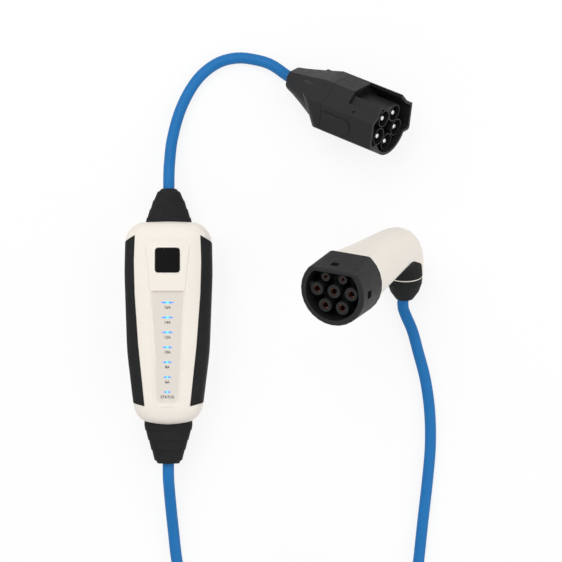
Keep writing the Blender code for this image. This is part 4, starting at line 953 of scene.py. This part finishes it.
def make_handle():
    handle = working_solid("handle", handle_form())
    pieces = []
    for cad_node, lean in INLAYS:
        recess = combine(inlay_zone(lean, SMALL_GAP), "DIFFERENCE", handle_form(-INLAY_RECESS, COUPLER_WALL))
        combine(handle, "DIFFERENCE", recess)
        inlay = working_solid("inlay", handle_form(SMALL_GAP))
        combine(inlay, "DIFFERENCE", handle_form(-INLAY_RECESS, COUPLER_WALL))
        combine(inlay, "INTERSECT", inlay_zone(lean, 0.0))
        mesh = release(inlay, CONNECTOR_FACE)
        pieces.append(finish_piece(cad_node + "_dressed", mesh, SLOT_OF[cad_node], 0.0002, 40.0, cad_node))
    mesh = release(handle, CONNECTOR_FACE)
    pieces.append(finish_piece("handle_dressed", mesh, "cream_shell", 0.0002, 40.0, "connector_handle"))
    return pieces


def make_labels():
    """Figures printed below the windows of the strip."""
    for index, words in enumerate(LABELS):
        curve = bpy.data.curves.new("label", "FONT")
        curve.body = words
        curve.size = LABEL_HEIGHT * TYPE_SIZE
        curve.align_x = "CENTER"
        curve.align_y = "CENTER"
        curve.extrude = PRINT_RISE
        curve.offset = TYPE_SWELL
        writing = bpy.data.objects.new("label", curve)
        bpy.context.scene.collection.objects.link(writing)
        graph = bpy.context.evaluated_depsgraph_get()
        mesh = bpy.data.meshes.new_from_object(writing.evaluated_get(graph))
        bpy.data.objects.remove(writing, do_unlink=True)
        low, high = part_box(f"led_window_{index + 1}")
        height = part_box("indicator_strip")[1].z
        middle = (low + high) / 2
        place = Vector((middle.x, middle.y - LABEL_DROP, height + PRINT_RISE / 2))
        mesh.transform(Matrix.Translation(place))
        name = "label_" + words.lower()
        label = bpy.data.objects.new(name, mesh)
        bpy.context.scene.collection.objects.link(label)
        wear(label, "print_grey")


def channel_share(x, y):
    """How far up a flank of the channel a place is: 0 on its floor, 1 at its rim."""
    along = (CHANNEL_TOP_Y - y) / (CHANNEL_TOP_Y - CHANNEL_FOOT_Y)
    half = CHANNEL_HALF[0] + (CHANNEL_HALF[1] - CHANNEL_HALF[0]) * along
    flank = CHANNEL_FLANK[0] + (CHANNEL_FLANK[1] - CHANNEL_FLANK[0]) * along
    across = max(0.0, abs(x) - half + CHANNEL_FOOT_RADIUS)
    down = max(0.0, CHANNEL_FOOT_Y + CHANNEL_FOOT_RADIUS - y)
    outside = math.hypot(across, down) - CHANNEL_FOOT_RADIUS
    return min(1.0, max(0.0, 1 + outside / flank))


def make_channel():
    """Soft channel below the panel, from its darker floor up to the box's front, its flanks darkened with
    painted shade.
    """
    code = bmesh.new()
    across, along = CHANNEL_STEPS
    bmesh.ops.create_grid(code, x_segments=across, y_segments=along, size=1.0)
    floor_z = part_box("indicator_strip")[1].z
    for point in code.verts:
        y = CHANNEL_FOOT_Y + (CHANNEL_TOP_Y - CHANNEL_FOOT_Y) * (point.co.y + 1) / 2
        share = (CHANNEL_TOP_Y - y) / (CHANNEL_TOP_Y - CHANNEL_FOOT_Y)
        half = CHANNEL_HALF[0] + (CHANNEL_HALF[1] - CHANNEL_HALF[0]) * share
        down = max(0.0, CHANNEL_FOOT_Y + CHANNEL_FOOT_RADIUS - y)
        half -= CHANNEL_FOOT_RADIUS - math.sqrt(max(0.0, CHANNEL_FOOT_RADIUS ** 2 - down ** 2))
        x = point.co.x * half
        rise = eased(channel_share(x, y))
        point.co = (x, y, floor_z + (FRONT_Z + PRINT_RISE - floor_z) * rise)
    mesh = meshed("channel_floor", code)
    channel = finish_piece("channel_floor", mesh, "channel_strip_and_painted_shade", 0.0, 60.0, "indicator_strip")
    wall = channel.modifiers.new("wall", "SOLIDIFY")
    wall.thickness = CHANNEL_WALL
    wall.offset = -1.0


def make_windows():
    """Low domed windows, pointed at both ends."""
    floor_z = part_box("indicator_strip")[1].z
    for index in range(1, 8):
        cad_node = f"led_window_{index}"
        low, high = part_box(cad_node)
        code = bmesh.new()
        bmesh.ops.create_uvsphere(code, u_segments=32, v_segments=12, radius=1.0)
        for point in code.verts:
            slim = (1 - abs(point.co.x)) ** WINDOW_POINT if abs(point.co.x) < 1 else 0.0
            point.co.y *= slim
        bmesh.ops.scale(code, vec=((high.x - low.x) / 2, WINDOW_HALF_HEIGHT, WINDOW_RISE), verts=code.verts)
        bmesh.ops.translate(code, vec=((low.x + high.x) / 2, (low.y + high.y) / 2, floor_z), verts=code.verts)
        bmesh.ops.remove_doubles(code, verts=code.verts, dist=WELD_DISTANCE)
        finish_piece(cad_node + "_dressed", meshed(cad_node, code), "window_blue", 0.0, 60.0, cad_node)


def make_badge_line():
    """Pale line that frames the badge plate."""
    low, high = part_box("badge_plate")
    middle = (low + high) / 2
    half = (high.x - low.x) / 2 + SMALL_GAP
    corners = [(half, half), (-half, half), (-half, -half), (half, -half)]
    inner = rounded(corners, [LINE_CORNER] * 4, [8] * 4)
    rings = [grown(inner, LINE_WIDTH * share) for share in (0.0, 0.3, 1.0, 1.0)]
    code = bmesh.new()
    loops = [ring(code, [(x, y, z) for x, y in points]) for points, z in zip(rings, LINE_HEIGHTS)]
    for near, far in zip(loops, loops[1:]):
        bmesh.ops.bridge_loops(code, edges=near + far)
    bmesh.ops.recalc_face_normals(code, faces=code.faces)
    for point in code.verts:
        y = middle.y + point.co.y
        share = (y - PANEL_FOOT_Y) / (PANEL_TOP_Y - PANEL_FOOT_Y)
        point.co = (middle.x + point.co.x, y, FRONT_Z + PANEL_RISE * (1 - share) + point.co.z)
    return finish_piece("badge_line", meshed("badge_line", code), "line_white", 0.0, 60.0)


def seen_rays(owner):
    """Value that is 1 for rays from the camera, mirrored or passed through glass."""
    path = node(owner, "ShaderNodeLightPath").outputs
    seen = path["Is Camera Ray"]
    for kind in ("Is Glossy Ray", "Is Transmission Ray"):
        seen = node(owner, "ShaderNodeMath", {0: seen, 1: path[kind]}, operation="MAXIMUM").outputs[0]
    return seen


def light_scene():
    world = bpy.data.worlds.new("studio")
    bpy.context.scene.world = world
    world.use_nodes = True
    tree = world.node_tree
    tree.nodes.clear()
    seen = seen_rays(world)
    soft = tree.nodes.new("ShaderNodeBackground")
    soft.inputs["Strength"].default_value = SOFT_LIGHT
    white = tree.nodes.new("ShaderNodeBackground")
    mix = tree.nodes.new("ShaderNodeMixShader")
    tree.links.new(seen, mix.inputs[0])
    tree.links.new(soft.outputs[0], mix.inputs[1])
    tree.links.new(white.outputs[0], mix.inputs[2])
    white.inputs["Color"].default_value = (1.0, 1.0, 1.0, 1.0)
    soft.inputs["Color"].default_value = (1.0, 1.0, 1.0, 1.0)
    output = tree.nodes.new("ShaderNodeOutputWorld")
    tree.links.new(mix.outputs[0], output.inputs["Surface"])
    for name, place, size, power in LAMPS:
        lamp = bpy.data.lights.new(name, "AREA")
        lamp.size = size
        lamp.energy = power
        light = bpy.data.objects.new(name, lamp)
        light.location = VIEW_CENTRE + Vector(place)
        light.rotation_euler = (-Vector(place)).to_track_quat("-Z", "Y").to_euler()
        bpy.context.scene.collection.objects.link(light)


def lay_floor():
    """Plain pale table top that keeps a faint shadow."""
    code = bmesh.new()
    bmesh.ops.create_grid(code, x_segments=1, y_segments=1, size=3.0)
    mesh = bpy.data.meshes.new("floor")
    code.to_mesh(mesh)
    code.free()
    floor = bpy.data.objects.new("floor", mesh)
    bpy.context.scene.collection.objects.link(floor)
    material = new_finish("table_top", (0.90, 0.90, 0.90), 0.9, specular=0.0)
    tree = material.node_tree
    share = node(material, "ShaderNodeMath", {0: seen_rays(material), 1: TABLE_SEEN}, operation="MULTIPLY")
    glow = node(material, "ShaderNodeEmission", {"Color": (1.0, 1.0, 1.0, 1.0), "Strength": TABLE_GLOW})
    mix = node(material, "ShaderNodeMixShader", {0: share.outputs[0]})
    tree.links.new(tree.nodes["Principled BSDF"].outputs[0], mix.inputs[1])
    tree.links.new(glow.outputs[0], mix.inputs[2])
    tree.links.new(mix.outputs[0], tree.nodes["Material Output"].inputs["Surface"])
    floor.data.materials.append(material)


bpy.context.scene.view_settings.view_transform = "Standard"
place_camera()
light_scene()
lay_floor()

BEVELS = {
    "front_shell": 0.0003, "rear_shell": 0.0003, "grip_left": 0.0003, "grip_right": 0.0003,
    "upper_boot": 0.0002, "lower_boot": 0.0002, "connector_collar": 0.0004, "contact_carrier": 0.0003,
    "connector_boot": 0.0004, "badge_plate": 0.0002,
}
COUPLER_BEVELS = {"coupler_back_shell": 0.0012, "coupler_shroud": 0.0006, "contact_insert": 0.0003}
SLOPED_NODES = ("front_shell", "badge_plate")
PIECES = {}
for cad_node in frame["nodes"]:
    lead = SLOT_OF[cad_node] == "cable_blue" and "lead" in cad_node
    if not lead and cad_node not in COUPLER_NODES + HANDLE_NODES + STRIP_NODES:
        PIECES[cad_node] = finished_copy(cad_node, BEVELS.get(cad_node, 0.0))
COUPLER_PIECES, COUPLER_DROP = make_coupler()
CONNECTOR_PIECES = [PIECES[name] for name in CONNECTOR_NODES + CONTACT_NODES] + make_handle()
make_labels()
make_windows()
make_channel()
make_badge_line()
make_supply_cable()
make_charge_cable()
